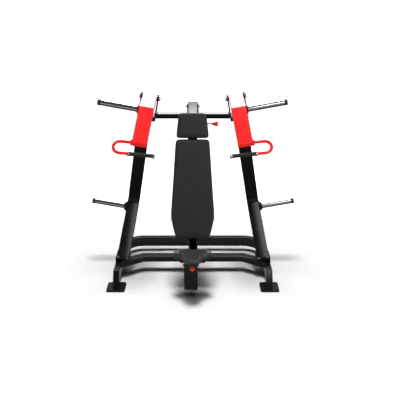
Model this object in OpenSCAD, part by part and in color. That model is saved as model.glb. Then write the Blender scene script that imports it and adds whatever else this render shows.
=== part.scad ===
// Plate-loaded seated shoulder press: two independent lever arms on leaning side frames,
// a reclined back pad with a sliding head pad, and a seat carried by a parallel linkage.
// X to the right, Y to the rear, Z up, millimetres. The floor is z = 0.

/* [Base] */
// distance between the two base rails, centre to centre
base_w = 1418; // [1100:2:1700]
// how far behind the front feet the rear cross tube lies
base_len = 762; // [560:2:1000]
// width of the base rail
rail_w = 56; // [40:1:70]
// height of the base rail
rail_h = 102; // [70:1:130]
// underside of the base rail above the floor
rail_z = 58; // [40:1:90]
// centre-line bend radius of the rear corners
rail_bend = 195; // [140:1:260]
// foot plate, across the machine
foot_w = 168; // [120:2:220]
// foot plate, front to rear
foot_l = 150; // [110:2:200]

/* [Side frames] */
// inward lean of each side frame, degrees
roll = 10.5; // [0:0.5:15]
// width of the upright tube
upright_w = 115; // [80:1:120]
// depth of the upright tube
upright_t = 65; // [50:1:80]
// bend radius of the upright
upright_bend = 90; // [70:5:200]

/* [Lever arms] */
// width of the lever arm
arm_w = 134; // [110:1:150]
// thickness of the lever arm
arm_t = 56; // [45:1:66]
// diameter of the pivot axle
axle_d = 25; // [20:1:30]
// handle tube diameter
handle_d = 28; // [24:1:34]
// distance from the handle sleeve to the grip
handle_reach = 115; // [95:1:130]
// grip length
grip_len = 196; // [150:2:235]
// grip diameter
grip_d = 36; // [30:1:42]

/* [Weight horns] */
// horn diameter, which suits plates with a 51 mm bore
horn_d = 50; // [25:0.5:50]
// usable length of a lever-arm horn
horn_len = 354; // [240:2:420]
// usable length of a storage horn
store_len = 313; // [200:1:380]

/* [Back rest] */
// recline of the pads, degrees from upright
recline = 17.7; // [10:0.1:25]
// pad thickness
pad_t = 70; // [50:1:80]
// back pad length
back_len = 880; // [700:5:950]
// back pad width at its widest
back_w = 385; // [300:5:460]
// head pad length
head_len = 216; // [180:2:240]
// head pad upward travel
head_travel = 70; // [30:1:80]
// spine tube width
spine_w = 85; // [60:1:100]
// spine tube depth
spine_t = 50; // [40:1:60]

/* [Seat] */
// seat width
seat_w = 362; // [300:2:440]
// seat length
seat_len = 252; // [220:2:330]
// length of the two parallel seat links
link_len = 288; // [250:1:340]
// swing of the seat links from the lowest to the highest seat, degrees
link_swing = 26.6; // [15:0.1:32]
// width of the seat column
column_w = 122; // [104:1:150]

/* [Hidden] */

$fn = 64;
wall = 4;
clear = 0.3;
fit = 0.05;
plate_t = 10;
weld_t = 12;
saddle_lap = 1.5;

// stations along the machine, measured from the middle of the front feet
foot_y = -265;
rear_y = foot_y + base_len + 1;
seat_rear_y = -295;
front_edge = seat_rear_y - seat_len;
rear_edge = rear_y + rail_w / 2;
shift_y = -(front_edge + rear_edge) / 2;

// side frame: points are [y, height along the lean]
frame_inset = 4;
frame_x = base_w / 2 - frame_inset;
up_a = [11, 198];
up_b = [354, 642];
up_c = [130, 1448];
beam_a = [112, 1440];
beam_b = [455, 1500];
beam_t = 56;
store_at = [308, 582];
store_stub = 26;

// lever arm at rest
arm_end = [-91, 1355];
arm_bend = [174, 1601];
pivot = [430, 1662];
horn_at = [172, 1590];
sleeve_d = 54;
cap_len = 28;
sleeve_over = 10;
arm_gap = 5;
clevis_x = arm_w / 2 + arm_gap;
arm_dir = unit(arm_end - arm_bend);
ease = 4.5;

// top cross tube
top_y = 465;
top_z = 1458;
top_deep = 60;
top_high = 48;
top_tilt = 15;

// front cross tube
fc_y = 75;
fc_deep = 80;
fc_high = 60;
fc_z = 108;
fc_straight = 483;
fc_sweep = 115;

// back rest: the pad frame's origin is the pads' lower end at mid thickness
pad_org = [-255, 506];
board_t = 20;
head_gap = 14;
spine_y = pad_t / 2 + board_t + spine_t / 2;
spine_lo = 20;
spine_hi = back_len + head_gap + head_len - 6;
link_w = 89;
link_t = 50;
link_rear = [480, 1553];
stem_w = spine_w - 2 * wall - 2 * clear;
stem_t = spine_t - 2 * wall - 2 * clear;
stem_lo = back_len + head_gap + 6;
stem_hi = spine_hi - head_travel - 2;
block_lo = stem_lo + 26;
block_hi = block_lo + 70;
pin_z = back_len + head_gap + 128;
pin_d = 11;
pin_x = 170;

// seat linkage
link_x = -15;
link_bar_w = 34;
post_a = [65, fc_z + fc_high];
post_b = [-150, 560];
post_t = 60;
post_w = 68;
rear_up = [-111, 377];
pivot_drop = 147;
half_swing = link_swing / 2;
front_up = [rear_up[0] - link_len * cos(half_swing), rear_up[1] - link_len * sin(half_swing)];
front_lo = [front_up[0], front_up[1] - pivot_drop];
rear_lo = [rear_up[0], rear_up[1] - pivot_drop];
drum_r = 26;
hub_r = 18;
bolt_d = 12;
cheek_t = 8;
cheek_in = post_w / 2;
col_wall = 6;
col_front = front_up[0] - 34;
col_deep = 70;
col_lo = front_lo[1] - 88;
col_hi = front_up[1] + 50;
seat_pin_d = 10;

black = [0.09, 0.09, 0.1];
red = [0.85, 0.08, 0.08];
steel = [0.75, 0.76, 0.78];
vinyl = [0.17, 0.17, 0.17];

function unit(v) = v / norm(v);
function left(v) = [-v[1], v[0]];
function bend_deg(p, q, r) = acos(unit(q - p) * unit(r - q));
function tangent(p, q, r, br) = br * tan(bend_deg(p, q, r) / 2);
function bend_side(p, q, r) = left(q - p) * (r - q) > 0 ? 1 : -1;
function lean_x(x, s) = -frame_x + x * cos(roll) + s * sin(roll);
function lean_z(x, s) = s * cos(roll) - x * sin(roll);

// ---- placing helpers ----
module placed() {
  translate([0, shift_y, 0])
    children();
}

// side frame coordinates: x outward is negative, y to the rear, z along the lean
module side(right = false) {
  placed()
    mirror([right ? 1 : 0, 0, 0])
      translate([-frame_x, 0, 0])
        rotate([0, roll, 0])
          children();
}

module sides() {
  side(false)
    children();
  side(true)
    children();
}

// pad frame coordinates: z up along the pads, y to the rear through them
module reclined() {
  placed()
    translate([0, pad_org[0], pad_org[1]])
      rotate([-recline, 0, 0])
        children();
}

// a [y, z] outline extruded across the machine, from x0 to x1
module across(x0, x1) {
  translate([x0, 0, 0])
    rotate([90, 0, 90])
      linear_extrude(height = x1 - x0)
        children();
}

// a round bar along x at [y, z]
module bar_x(p, d, x0, x1) {
  translate([x0, p[0], p[1]])
    rotate([0, 90, 0])
      cylinder(d = d, h = x1 - x0);
}

module hex_x(p, af, x0, x1) {
  translate([x0, p[0], p[1]])
    rotate([0, 90, 0])
      cylinder(d = af / cos(30), h = x1 - x0, $fn = 6);
}

// a straight band of width t from a to b
module run(a, b, t) {
  d = unit(b - a);
  n = left(d) * t / 2;
  polygon([a + n, b + n, b - n, a - n]);
}

// the round bend at q between p and r
module bend(p, q, r, br, t) {
  u = unit(q - p);
  v = unit(r - q);
  k = tangent(p, q, r, br);
  c = q - u * k + left(u) * bend_side(p, q, r) * br;
  intersection() {
    translate(c)
      difference() {
        circle(r = br + t / 2, $fn = 96);
        circle(r = br - t / 2, $fn = 96);
      }
    polygon([c, c + (q - u * k - c) * 2, c + (q - c) * 2, c + (q + v * k - c) * 2]);
  }
}

// a mitred band through three points
module elbow(p, q, r, t) {
  n1 = left(unit(q - p)) * t / 2;
  n2 = left(unit(r - q)) * t / 2;
  m = (n1 + n2) / (1 + unit(n1) * unit(n2));
  polygon([p + n1, q + m, r + n2, r - n2, q - m, p - n1]);
}

// ---- base ----
module base_solid(t, h) {
  x = base_w / 2;
  a = [-x, foot_y + 155];
  b = [-x, rear_y];
  c = [x, rear_y];
  d = [x, foot_y + 155];
  linear_extrude(height = h)
    run(a, b - [0, rail_bend], t);
  linear_extrude(height = h)
    bend(a, b, c, rail_bend, t);
  linear_extrude(height = h)
    run(b + [rail_bend, 0], c - [rail_bend, 0], t);
  linear_extrude(height = h)
    bend(b, c, d, rail_bend, t);
  linear_extrude(height = h)
    run(c - [0, rail_bend], d, t);
}

module base_tube() {
  color(black)
    placed()
      difference() {
        translate([0, 0, rail_z])
          base_solid(rail_w, rail_h);
        translate([0, 0, rail_z + wall])
          base_solid(rail_w - 2 * wall, rail_h - 2 * wall);
      }
}

module front_leg_outline() {
  y = foot_y;
  polygon([
    [y + 155, rail_z], [y + 155, rail_z + rail_h], [y + 46, rail_z + rail_h],
    [y - 56, 18], [y + 40, 18], [y + 86, rail_z]
  ]);
}

module front_leg_inside() {
  y = foot_y;
  polygon([
    [y + 170, rail_z + wall], [y + 170, rail_z + rail_h - wall], [y + 48, rail_z + rail_h - wall],
    [y - 48, 18 + wall], [y + 38, 18 + wall], [y + 84, rail_z + wall]
  ]);
}

module front_legs() {
  w = rail_w / 2;
  color(black)
    placed()
      for (x = [-base_w / 2, base_w / 2])
        difference() {
          across(x - w, x + w)
            front_leg_outline();
          across(x - w + wall, x + w - wall)
            front_leg_inside();
        }
}

module rear_foot_at(s) {
  translate([s * base_w / 2, rear_y - rail_bend, 0])
    children();
}

module rear_legs() {
  color(black)
    placed()
      for (s = [-1, 1])
        rear_foot_at(s)
          translate([0, 0, 18])
            cylinder(d = rail_w - 4, h = rail_z - 18);
}

module foot_shape(w, l) {
  translate([-w / 2 + 18, -l / 2])
    square([w - 36, l]);
  translate([-w / 2, -l / 2 + 18])
    square([w, l - 36]);
  for (x = [-1, 1], y = [-1, 1])
    translate([x * (w / 2 - 18), y * (l / 2 - 18)])
      circle(r = 18);
}

// holes on the outer side of each foot, for floor bolts
module foot_holes(z0, z1, d) {
  for (s = [-1, 1], y = [-1, 1])
    translate([s * (base_w / 2 + foot_w / 2 - 24), foot_y + y * (foot_l / 2 - 26), z0])
      cylinder(d = d, h = z1 - z0);
}

module foot_plates() {
  color(black)
    placed() {
      difference() {
        for (s = [-1, 1])
          translate([s * base_w / 2, foot_y, 10])
            linear_extrude(height = 8)
              foot_shape(foot_w, foot_l);
        foot_holes(5, 25, 13);
      }
      for (s = [-1, 1])
        rear_foot_at(s)
          translate([0, 0, 10])
            linear_extrude(height = 8)
              foot_shape(110, 110);
    }
}

module foot_rubbers() {
  color(vinyl)
    placed() {
      difference() {
        for (s = [-1, 1])
          translate([s * base_w / 2, foot_y, 0])
            linear_extrude(height = 10)
              foot_shape(foot_w + 4, foot_l + 4);
        foot_holes(-5, 15, 15);
      }
      for (s = [-1, 1])
        rear_foot_at(s)
          linear_extrude(height = 10)
            foot_shape(114, 114);
    }
}

module fc_path(t) {
  x = base_w / 2 - rail_w / 2;
  m = fc_straight;
  e = [x + 40, fc_y - fc_sweep * (x + 40 - m) / (x - m)];
  q = [m, fc_y];
  intersection() {
    union() {
      elbow([-e[0], e[1]], [-q[0], q[1]], [0, fc_y], t);
      elbow([0, fc_y], q, e, t);
    }
    translate([-x, -600])
      square([2 * x, 1200]);
  }
}

module fc_solid() {
  translate([0, 0, fc_z])
    linear_extrude(height = fc_high)
      fc_path(fc_deep);
}

module front_cross_tube() {
  color(black)
    placed()
      difference() {
        fc_solid();
        translate([0, 0, fc_z + wall])
          linear_extrude(height = fc_high - 2 * wall)
            fc_path(fc_deep - 2 * wall);
      }
}

// tapered seats on the rails that carry the leaning uprights
module saddle_outline() {
  h = upright_w / 2 + 8;
  x = -base_w / 2;
  s = up_a[1] - weld_t;
  over_rail = (base_w / 2 - frame_x + s * sin(roll) + rail_w / 2 - saddle_lap) / cos(roll);
  h_out = max(h, over_rail);
  difference() {
    polygon([
      [lean_x(-h_out, s), lean_z(-h_out, s)], [lean_x(h, s), lean_z(h, s)],
      [x + rail_w / 2 + 6, rail_z + 46], [x - rail_w / 2 - 6, rail_z + 46]
    ]);
    translate([x - rail_w / 2, 0])
      square([rail_w, rail_z + rail_h]);
  }
}

module saddles() {
  color(black)
    placed()
      for (m = [0, 1])
        mirror([m, 0, 0])
          difference() {
            translate([0, up_a[0] + 78, 0])
              rotate([90, 0, 0])
                linear_extrude(height = 150)
                  saddle_outline();
            fc_solid();
            bolt_spots()
              translate([0, 0, -20])
                cylinder(d = 12, h = 30);
          }
}

// the flange bolts of the left frame, in machine coordinates
module bolt_spots() {
  translate([-frame_x, 0, 0])
    rotate([0, roll, 0])
      for (x = [-1, 1], y = [-56, 64])
        translate([x * (upright_w / 2 - 17), up_a[0] + y, up_a[1]])
          children();
}

module upright_flanges() {
  color(black)
    sides()
      difference() {
        translate([-upright_w / 2 - 10, up_a[0] - 74, up_a[1] - weld_t])
          cube([upright_w + 20, 156, weld_t]);
        for (x = [-1, 1], y = [-56, 64])
          translate([x * (upright_w / 2 - 17), up_a[0] + y, up_a[1] - 20])
            cylinder(d = 12, h = 40);
      }
}

module flange_bolts() {
  color(steel)
    sides()
      for (x = [-1, 1], y = [-56, 64])
        translate([x * (upright_w / 2 - 17), up_a[0] + y, up_a[1]]) {
          cylinder(d = 19, h = 2);
          cylinder(d = 17 / cos(30), h = 9, $fn = 6);
          translate([0, 0, -17.5])
            cylinder(d = 11.9, h = 18);
        }
}

// the bend is a hair thicker than the straights, which run a little way into it
module upright_solid(t, w) {
  k = tangent(up_a, up_b, up_c, upright_bend) - 3;
  u = unit(up_b - up_a);
  v = unit(up_c - up_b);
  across(-w / 2, w / 2)
    run(up_a - u * 60, up_b - u * k, t);
  across(-w / 2, w / 2)
    bend(up_a, up_b, up_c, upright_bend, t + 0.2);
  across(-w / 2, w / 2)
    run(up_b + v * k, up_c + v * 60, t);
}

// the part of the side plane between the flange and the head beam
module upright_room() {
  d = unit(beam_b - beam_a);
  n = left(d) * beam_t / 2;
  a = beam_a - n - d * 300;
  b = beam_a - n + d * 600;
  polygon([[-400, up_a[1]], [700, up_a[1]], b, a]);
}

module upright() {
  difference() {
    intersection() {
      upright_solid(upright_t, upright_w);
      across(-upright_w, upright_w)
        upright_room();
    }
    upright_solid(upright_t - 2 * wall, upright_w - 2 * wall);
  }
}

module upright_l() {
  color(black)
    side()
      upright();
}

module upright_r() {
  color(black)
    side(true)
      upright();
}

module head_beams() {
  color(black)
    sides()
      difference() {
        across(-upright_w / 2, upright_w / 2)
          run(beam_a, beam_b, beam_t);
        across(-upright_w / 2 + wall, upright_w / 2 - wall)
          run(beam_a, beam_b, beam_t - 2 * wall);
      }
}

module clevis_spacers() {
  u = unit(beam_b - beam_a);
  color(black)
    sides()
      for (s = [-1, 1])
        across(s > 0 ? upright_w / 2 : -clevis_x, s > 0 ? clevis_x : -upright_w / 2)
          run(beam_b - u * 105, beam_b - u * 5, beam_t - 10);
}

module clevis_outline() {
  r = 40;
  difference() {
    union() {
      translate(pivot)
        circle(r = r);
      polygon([
        pivot + [-r * cos(8), -r * sin(8)], pivot + [r * cos(4), r * sin(4)],
        [top_y + 44, 1520], [top_y + 44, 1452], [beam_b[0] - 20, 1452], [beam_b[0] - 115, 1462],
        [beam_b[0] - 115, 1500]
      ]);
    }
    translate(pivot)
      circle(d = axle_d + 2 * fit);
  }
}

module clevis_plates() {
  color(black)
    sides() {
      across(clevis_x, clevis_x + weld_t)
        clevis_outline();
      across(-clevis_x - weld_t, -clevis_x)
        clevis_outline();
    }
}

module arm_axles() {
  x = clevis_x + weld_t;
  color(steel)
    sides() {
      bar_x(pivot, axle_d, -x, x + 20);
      bar_x(pivot, 44, -x - 3, -x);
      hex_x(pivot, 36, -x - 14, -x - 3);
    }
}

module axle_nuts() {
  x = clevis_x + weld_t;
  color(steel)
    sides()
      difference() {
        union() {
          bar_x(pivot, 44, x, x + 3);
          hex_x(pivot, 36, x + 3, x + 16);
        }
        bar_x(pivot, axle_d, x - 1, x + 30);
      }
}

module top_bar(h, d, x) {
  translate([0, top_y, top_z])
    rotate([top_tilt, 0, 0])
      translate([-x, -d / 2, -h / 2])
        cube([2 * x, d, h]);
}

module top_cross_tube() {
  color(black)
    placed()
      difference() {
        top_bar(top_high, top_deep, 600);
        top_bar(top_high - 2 * wall, top_deep - 2 * wall, 620);
        for (m = [0, 1])
          mirror([m, 0, 0])
            translate([-frame_x, 0, 0])
              rotate([0, roll, 0])
                translate([clevis_x + weld_t - 600, 200, 1100])
                  cube([600, 600, 800]);
      }
}

// rubber stops on the head beams that the resting arms sit on
module arm_stops() {
  u = unit(beam_b - beam_a);
  n = left(u);
  v = unit(pivot - arm_bend);
  m = left(v);
  at = arm_bend + v * 60;
  top = at - m * (arm_t / 2 + 0.6);
  foot = beam_a + n * beam_t / 2;
  drop = (top - foot) * n;
  base = top - n * drop;
  ang = atan2(m[1], m[0]) - 90;
  color(vinyl)
    sides()
      difference() {
        translate([0, base[0], base[1]])
          rotate([atan2(n[1], n[0]) - 90, 0, 0])
            cylinder(d = 46, h = drop + 30);
        translate([-60, top[0], top[1]])
          rotate([ang, 0, 0])
            translate([0, -80, 0])
              cube([120, 160, 80]);
      }
}

// ---- storage and arm horns ----
module horn(p, x, len) {
  difference() {
    bar_x(p, horn_d, -x - len + cap_len, -x);
    bar_x(p, horn_d - 2 * wall, -x - len - 1, -x - 6);
  }
}

module horn_collar(p, x, d, t) {
  bar_x(p, d, -x - t, -x);
}

module horn_cap(p, x, len) {
  bar_x(p, horn_d, -x - len, -x - len + cap_len);
  bar_x(p, horn_d - 2 * wall - 2 * fit, -x - len, -x - len + cap_len + 20);
}

module storage_horns() {
  x = upright_w / 2 + store_stub;
  color(steel)
    sides()
      horn(store_at, x, store_len);
}

module storage_collars() {
  x = upright_w / 2;
  color(black)
    sides() {
      bar_x(store_at, 96, -x - 8, -x);
      translate([-x - 8, store_at[0], store_at[1]])
        rotate([0, -90, 0])
          cylinder(d1 = 84, d2 = 66, h = store_stub - 8);
    }
}

module storage_caps() {
  x = upright_w / 2 + store_stub;
  color(black)
    sides()
      horn_cap(store_at, x, store_len);
}

// ---- back rest ----
module front_post() {
  u = unit(post_b - post_a);
  y0 = spine_y + spine_t / 2;
  color(black)
    placed()
      difference() {
        across(-post_w / 2, post_w / 2)
          run(post_a - u * 60, post_b + u * 60, post_t);
        across(-post_w / 2 + wall, post_w / 2 - wall)
          run(post_a - u * 80, post_b + u * 80, post_t - 2 * wall);
        translate([-200, post_a[0] - 200, post_a[1] - 200])
          cube([400, 400, 200]);
        translate([0, pad_org[0], pad_org[1]])
          rotate([-recline, 0, 0])
            translate([-200, y0 - 300, -300])
              cube([400, 300, 900]);
      }
}

module spine() {
  w = spine_w;
  color(black)
    reclined()
      difference() {
        translate([-w / 2, spine_y - spine_t / 2, spine_lo])
          cube([w, spine_t, spine_hi - spine_lo]);
        translate([-w / 2 + wall, spine_y - spine_t / 2 + wall, spine_lo - 10])
          cube([w - 2 * wall, spine_t - 2 * wall, spine_hi - spine_lo + 20]);
        translate([-20, spine_y - spine_t / 2 - 5, block_lo - 3])
          cube([40, wall + 10, block_hi - block_lo + head_travel + 6]);
        translate([w / 2 - 10, spine_y, pin_z])
          rotate([0, 90, 0])
            cylinder(d = pin_d + 2 * fit, h = 20);
      }
}

// joins the top of the spine to the top cross tube
module link_line(t) {
  p = reclined_point(spine_y, spine_hi - 40);
  run(p - unit(link_rear - p) * 60, link_rear, t);
}

function reclined_point(y, z) = [
  pad_org[0] + y * cos(recline) + z * sin(recline),
  pad_org[1] + z * cos(recline) - y * sin(recline)
];

module top_link() {
  y0 = spine_y + spine_t / 2;
  color(black)
    placed()
      difference() {
        across(-link_w / 2, link_w / 2)
          link_line(link_t);
        across(-link_w / 2 + wall, link_w / 2 - wall)
          link_line(link_t - 2 * wall);
        bar_x(bracket_bolt, bolt_d + 0.4, -100, 100);
        translate([0, pad_org[0], pad_org[1]])
          rotate([-recline, 0, 0])
            translate([-200, y0 - 300, 0])
              cube([400, 300, 2000]);
      }
}

bracket_bolt = link_rear - [26, 8];

module bracket_outline() {
  polygon([
    [top_y - 46, top_z + 10], [top_y + 30, top_z + 10], [link_rear[0] - 2, link_rear[1] + 16],
    [link_rear[0] - 62, link_rear[1] + 12]
  ]);
}

module link_brackets() {
  x = link_w / 2;
  color(black)
    placed()
      difference() {
        for (s = [-1, 1])
          across(s > 0 ? x : -x - plate_t, s > 0 ? x + plate_t : -x)
            bracket_outline();
        top_bar(top_high, top_deep, 300);
        bar_x(bracket_bolt, bolt_d + 0.4, -100, 100);
      }
}

module bracket_bolts() {
  x = link_w / 2 + plate_t;
  color(steel)
    placed() {
      bar_x(bracket_bolt, bolt_d, -x - 5, x + 10);
      hex_x(bracket_bolt, 19, -x - 10, -x);
      hex_x(bracket_bolt, 19, x, x + 11);
    }
}

module link_end_cap() {
  p = reclined_point(spine_y, spine_hi - 40);
  u = unit(link_rear - p);
  color(vinyl)
    placed()
      across(-link_w / 2, link_w / 2)
        run(link_rear, link_rear + u * 8, link_t + 5);
}

module pin_housing() {
  x = spine_w / 2;
  color(black)
    reclined()
      translate([x, spine_y, pin_z])
        rotate([0, 90, 0])
          difference() {
            union() {
              cylinder(d = 34, h = 6);
              cylinder(d = 22, h = 40);
            }
            translate([0, 0, -1])
              cylinder(d = pin_d + 2 * fit, h = 60);
          }
}

// half outlines of the two pads, [half width, height]
function head_half() = [
  [104, head_len], [122, head_len - 18], [143, 16], [131, 0]
];

function back_half() = [
  [136, back_len], [149, back_len - 18], [back_w / 2, 0.27 * back_len],
  [back_w / 2, 0.2 * back_len], [154, 16], [140, 0]
];

function mirrored(pts) = concat(
  pts, [for (i = [len(pts) - 1 : -1 : 0]) [-pts[i][0], pts[i][1]]]
);

module pad_slab(pts, y0, y1, z0, grow) {
  translate([0, y1, z0])
    rotate([90, 0, 0])
      linear_extrude(height = y1 - y0)
        polygon(mirrored([for (p = pts) [p[0] + grow, p[1]]]));
}

module back_board() {
  color(black)
    reclined()
      pad_slab(back_half(), pad_t / 2, pad_t / 2 + board_t, 0, -12);
}

module back_pad() {
  color(vinyl)
    reclined()
      pad_slab(back_half(), -pad_t / 2, pad_t / 2, 0, 0);
}

// the head pad rides on a stem that slides inside the spine
module head_stem() {
  color(steel)
    reclined()
      difference() {
        union() {
          translate([-stem_w / 2, spine_y - stem_t / 2, stem_lo])
            cube([stem_w, stem_t, stem_hi - stem_lo]);
          translate([-18, pad_t / 2 + board_t - 2, block_lo])
            cube([36, spine_t / 2, block_hi - block_lo]);
        }
        for (i = [0 : 3])
          translate([stem_w / 2 - 9, spine_y, pin_z - i * head_travel / 3.5])
            rotate([0, 90, 0])
              cylinder(d = pin_d + 1, h = 20);
      }
}

module head_board() {
  color(black)
    reclined()
      pad_slab(head_half(), pad_t / 2, pad_t / 2 + board_t - 2, back_len + head_gap, -12);
}

module head_pad() {
  color(vinyl)
    reclined()
      pad_slab(head_half(), -pad_t / 2, pad_t / 2, back_len + head_gap, 0);
}

module head_pin() {
  x = spine_w / 2 - wall + clear;
  color(black)
    reclined()
      translate([x, spine_y, pin_z])
        rotate([0, 90, 0])
          cylinder(d = pin_d, h = pin_x - x);
}

module head_knob() {
  color(red)
    reclined()
      translate([pin_x, spine_y, pin_z])
        rotate([0, 90, 0]) {
          cylinder(d1 = 20, d2 = 44, h = 40);
          translate([0, 0, 40])
            cylinder(d = 44, h = 12);
          translate([0, 0, 52])
            cylinder(d1 = 44, d2 = 34, h = 6);
        }
}

// ---- lever arms ----
module arm_outline(t, tail, nose) {
  u = unit(pivot - arm_bend);
  elbow(arm_end + arm_dir * nose, arm_bend, pivot + u * tail, t);
}

module lever_arm() {
  difference() {
    across(-arm_w / 2, arm_w / 2)
      arm_outline(arm_t, 36, 0);
    across(-arm_w / 2 + wall, arm_w / 2 - wall)
      arm_outline(arm_t - 2 * wall, 32, -sleeve_d / 2 - 8);
    bar_x(arm_end, sleeve_d, -200, 200);
    bar_x(pivot, axle_d + 19, -200, 200);
    bar_x(horn_at, 30, -arm_w / 2 - 5, -arm_w / 2 + wall + 1);
  }
  difference() {
    bar_x(arm_end, sleeve_d, -arm_w / 2 - sleeve_over, arm_w / 2);
    bar_x(arm_end, sleeve_d - 12, -arm_w / 2 - sleeve_over + 6, arm_w / 2 - 5);
  }
}

// bearing housing in the arm's rear end
module arm_hub() {
  difference() {
    bar_x(pivot, axle_d + 19, -clevis_x + 1, clevis_x - 1);
    bar_x(pivot, axle_d + 2 * fit, -200, 200);
  }
}

// handle: a U bent tube with one leg on the sleeve's outer end and the other in the grip
module handle_frame() {
  x0 = -arm_w / 2 - sleeve_over;
  translate([x0, arm_end[0], arm_end[1]])
    rotate([0, -ease, 0])
      rotate([atan2(arm_dir[1], arm_dir[0]), 0, 0])
        children();
}

module handle() {
  r = handle_reach / 2;
  out = 84;
  grip_x = 72 + grip_len - 196;
  difference() {
    handle_frame() {
      translate([-out, 0, 0])
        rotate([0, 90, 0])
          cylinder(d = handle_d, h = out);
      translate([-out, r, 0])
        rotate([0, 0, 90])
          rotate_extrude(angle = 180)
            translate([r, 0])
              circle(d = handle_d);
      translate([-out, 2 * r, 0])
        rotate([0, 90, 0])
          cylinder(d = handle_d, h = out + grip_x + 116);
    }
    bar_x(arm_end, sleeve_d + 1, -arm_w / 2 - sleeve_over, 0);
  }
}

module grip() {
  handle_frame()
    translate([4, handle_reach, 0])
      rotate([0, 90, 0])
        difference() {
          cylinder(d = grip_d, h = grip_len);
          translate([0, 0, -1])
            cylinder(d = handle_d, h = grip_len + 2);
        }
}

module collars() {
  handle_frame()
    translate([0, handle_reach, 0])
      rotate([0, 90, 0]) {
        translate([0, 0, -14])
          difference() {
            cylinder(d = grip_d + 6, h = 18);
            translate([0, 0, -1])
              cylinder(d = handle_d, h = 30);
          }
        translate([0, 0, 4 + grip_len])
          difference() {
            cylinder(d = grip_d + 8, h = 22);
            translate([0, 0, -1])
              cylinder(d = handle_d, h = 14);
          }
      }
}

module arm_l() {
  color(red)
    side()
      lever_arm();
}

module arm_r() {
  color(red)
    side(true)
      lever_arm();
}

module arm_hub_l() {
  color(steel)
    side()
      arm_hub();
}

module arm_hub_r() {
  color(steel)
    side(true)
      arm_hub();
}

module horn_l() {
  color(steel)
    side()
      horn(horn_at, arm_w / 2 + 14, horn_len);
}

module horn_r() {
  color(steel)
    side(true)
      horn(horn_at, arm_w / 2 + 14, horn_len);
}

module horn_collar_l() {
  color(black)
    side()
      horn_collar(horn_at, arm_w / 2, 82, 14);
}

module horn_collar_r() {
  color(black)
    side(true)
      horn_collar(horn_at, arm_w / 2, 82, 14);
}

module horn_cap_l() {
  color(black)
    side()
      horn_cap(horn_at, arm_w / 2 + 14, horn_len);
}

module horn_cap_r() {
  color(black)
    side(true)
      horn_cap(horn_at, arm_w / 2 + 14, horn_len);
}

module handle_l() {
  color(red)
    side()
      handle();
}

module handle_r() {
  color(red)
    side(true)
      handle();
}

module collars_l() {
  color(steel)
    side()
      collars();
}

module collars_r() {
  color(steel)
    side(true)
      collars();
}

module grip_l() {
  color(vinyl)
    side()
      grip();
}

module grip_r() {
  color(vinyl)
    side(true)
      grip();
}

// ---- seat linkage ----
module cheek_outline() {
  difference() {
    union() {
      translate(rear_up)
        circle(r = 24);
      translate(rear_lo)
        circle(r = 24);
      polygon([
        rear_up + [-24, 0], rear_up + [0, 24], post_mid(432) + [6, 0], post_mid(200) + [16, 0],
        post_mid(186) + [-20, 0], rear_lo + [0, -24], rear_lo + [-24, 0]
      ]);
    }
    translate(rear_up)
      circle(d = bolt_d + 2 * fit);
    translate(rear_lo)
      circle(d = bolt_d + 2 * fit);
  }
}

function post_mid(z) = post_a + (post_b - post_a) * (z - post_a[1]) / (post_b[1] - post_a[1]);

module link_cheeks() {
  x = cheek_in;
  color(black)
    placed() {
      across(x, x + cheek_t)
        cheek_outline();
      across(-x - cheek_t, -x)
        cheek_outline();
    }
}

module through_bolt(p, x0, x1) {
  bar_x(p, bolt_d, x0, x1 + 10);
  hex_x(p, 19, x0 - 8, x0);
}

module lock_nut(p, x1) {
  difference() {
    hex_x(p, 19, x1, x1 + 11);
    bar_x(p, bolt_d, x1 - 1, x1 + 9);
  }
}

module bolt_pair(p, q, x0, x1) {
  color(steel)
    placed() {
      through_bolt(p, x0, x1);
      through_bolt(q, x0, x1);
      lock_nut(p, x1);
      lock_nut(q, x1);
    }
}

module rear_link_bolts() {
  x = cheek_in + cheek_t;
  bolt_pair(rear_up, rear_lo, -x, x);
}

module front_link_bolts() {
  x0 = link_x - column_w / 2;
  bolt_pair(front_up, front_lo, x0, x0 + column_w);
}

module link_body(a, b, ra, rb, xa, xb, w) {
  difference() {
    union() {
      bar_x(a, 2 * ra, -xa, xa);
      bar_x(b, 2 * rb, link_x - xb, link_x + xb);
      across(link_x - w / 2, link_x + w / 2)
        run(a, b, 32);
    }
    bar_x(a, bolt_d + 2 * fit, -200, 200);
    bar_x(b, bolt_d + 2 * fit, -200, 200);
  }
}

// the upper link's front hub is a drum with holes for the seat pin
module upper_link() {
  x = cheek_in - 1;
  color(black)
    placed()
      difference() {
        link_body(rear_up, front_up, hub_r, drum_r, x, column_w / 2 - col_wall - 1, link_bar_w);
        for (i = [0 : 2])
          translate([0, front_up[0], front_up[1]])
            rotate([i * half_swing, 0, 0])
              translate([0, -drum_r + 8, 0])
                rotate([90, 0, 0])
                  cylinder(d = 6, h = 20);
      }
}

module lower_link() {
  x = cheek_in - 1;
  color(black)
    placed()
      link_body(rear_lo, front_lo, hub_r, hub_r, x, column_w / 2 - col_wall - 1, link_bar_w);
}

module seat_column() {
  x0 = link_x - column_w / 2;
  h = col_hi - col_lo;
  color(black)
    placed()
      difference() {
        union() {
          translate([x0, col_front, col_lo])
            cube([column_w, col_deep, h + 4]);
          translate([-110, col_front - 20, col_hi])
            cube([220, 140, 8]);
        }
        translate([x0 + col_wall, col_front + col_wall, col_lo - 10])
          cube([column_w - 2 * col_wall, col_deep, h + 10]);
        bar_x(front_up, bolt_d + 2 * fit, -200, 200);
        bar_x(front_lo, bolt_d + 2 * fit, -200, 200);
        translate([0, col_front - 10, front_up[1]])
          rotate([-90, 0, 0])
            cylinder(d = seat_pin_d + 2 * fit, h = 30);
        translate([x0 + 20, col_front - 10, front_up[1] + 4])
          rotate([-90, 0, 0])
            cylinder(d = 15, h = 30);
      }
}

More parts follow.
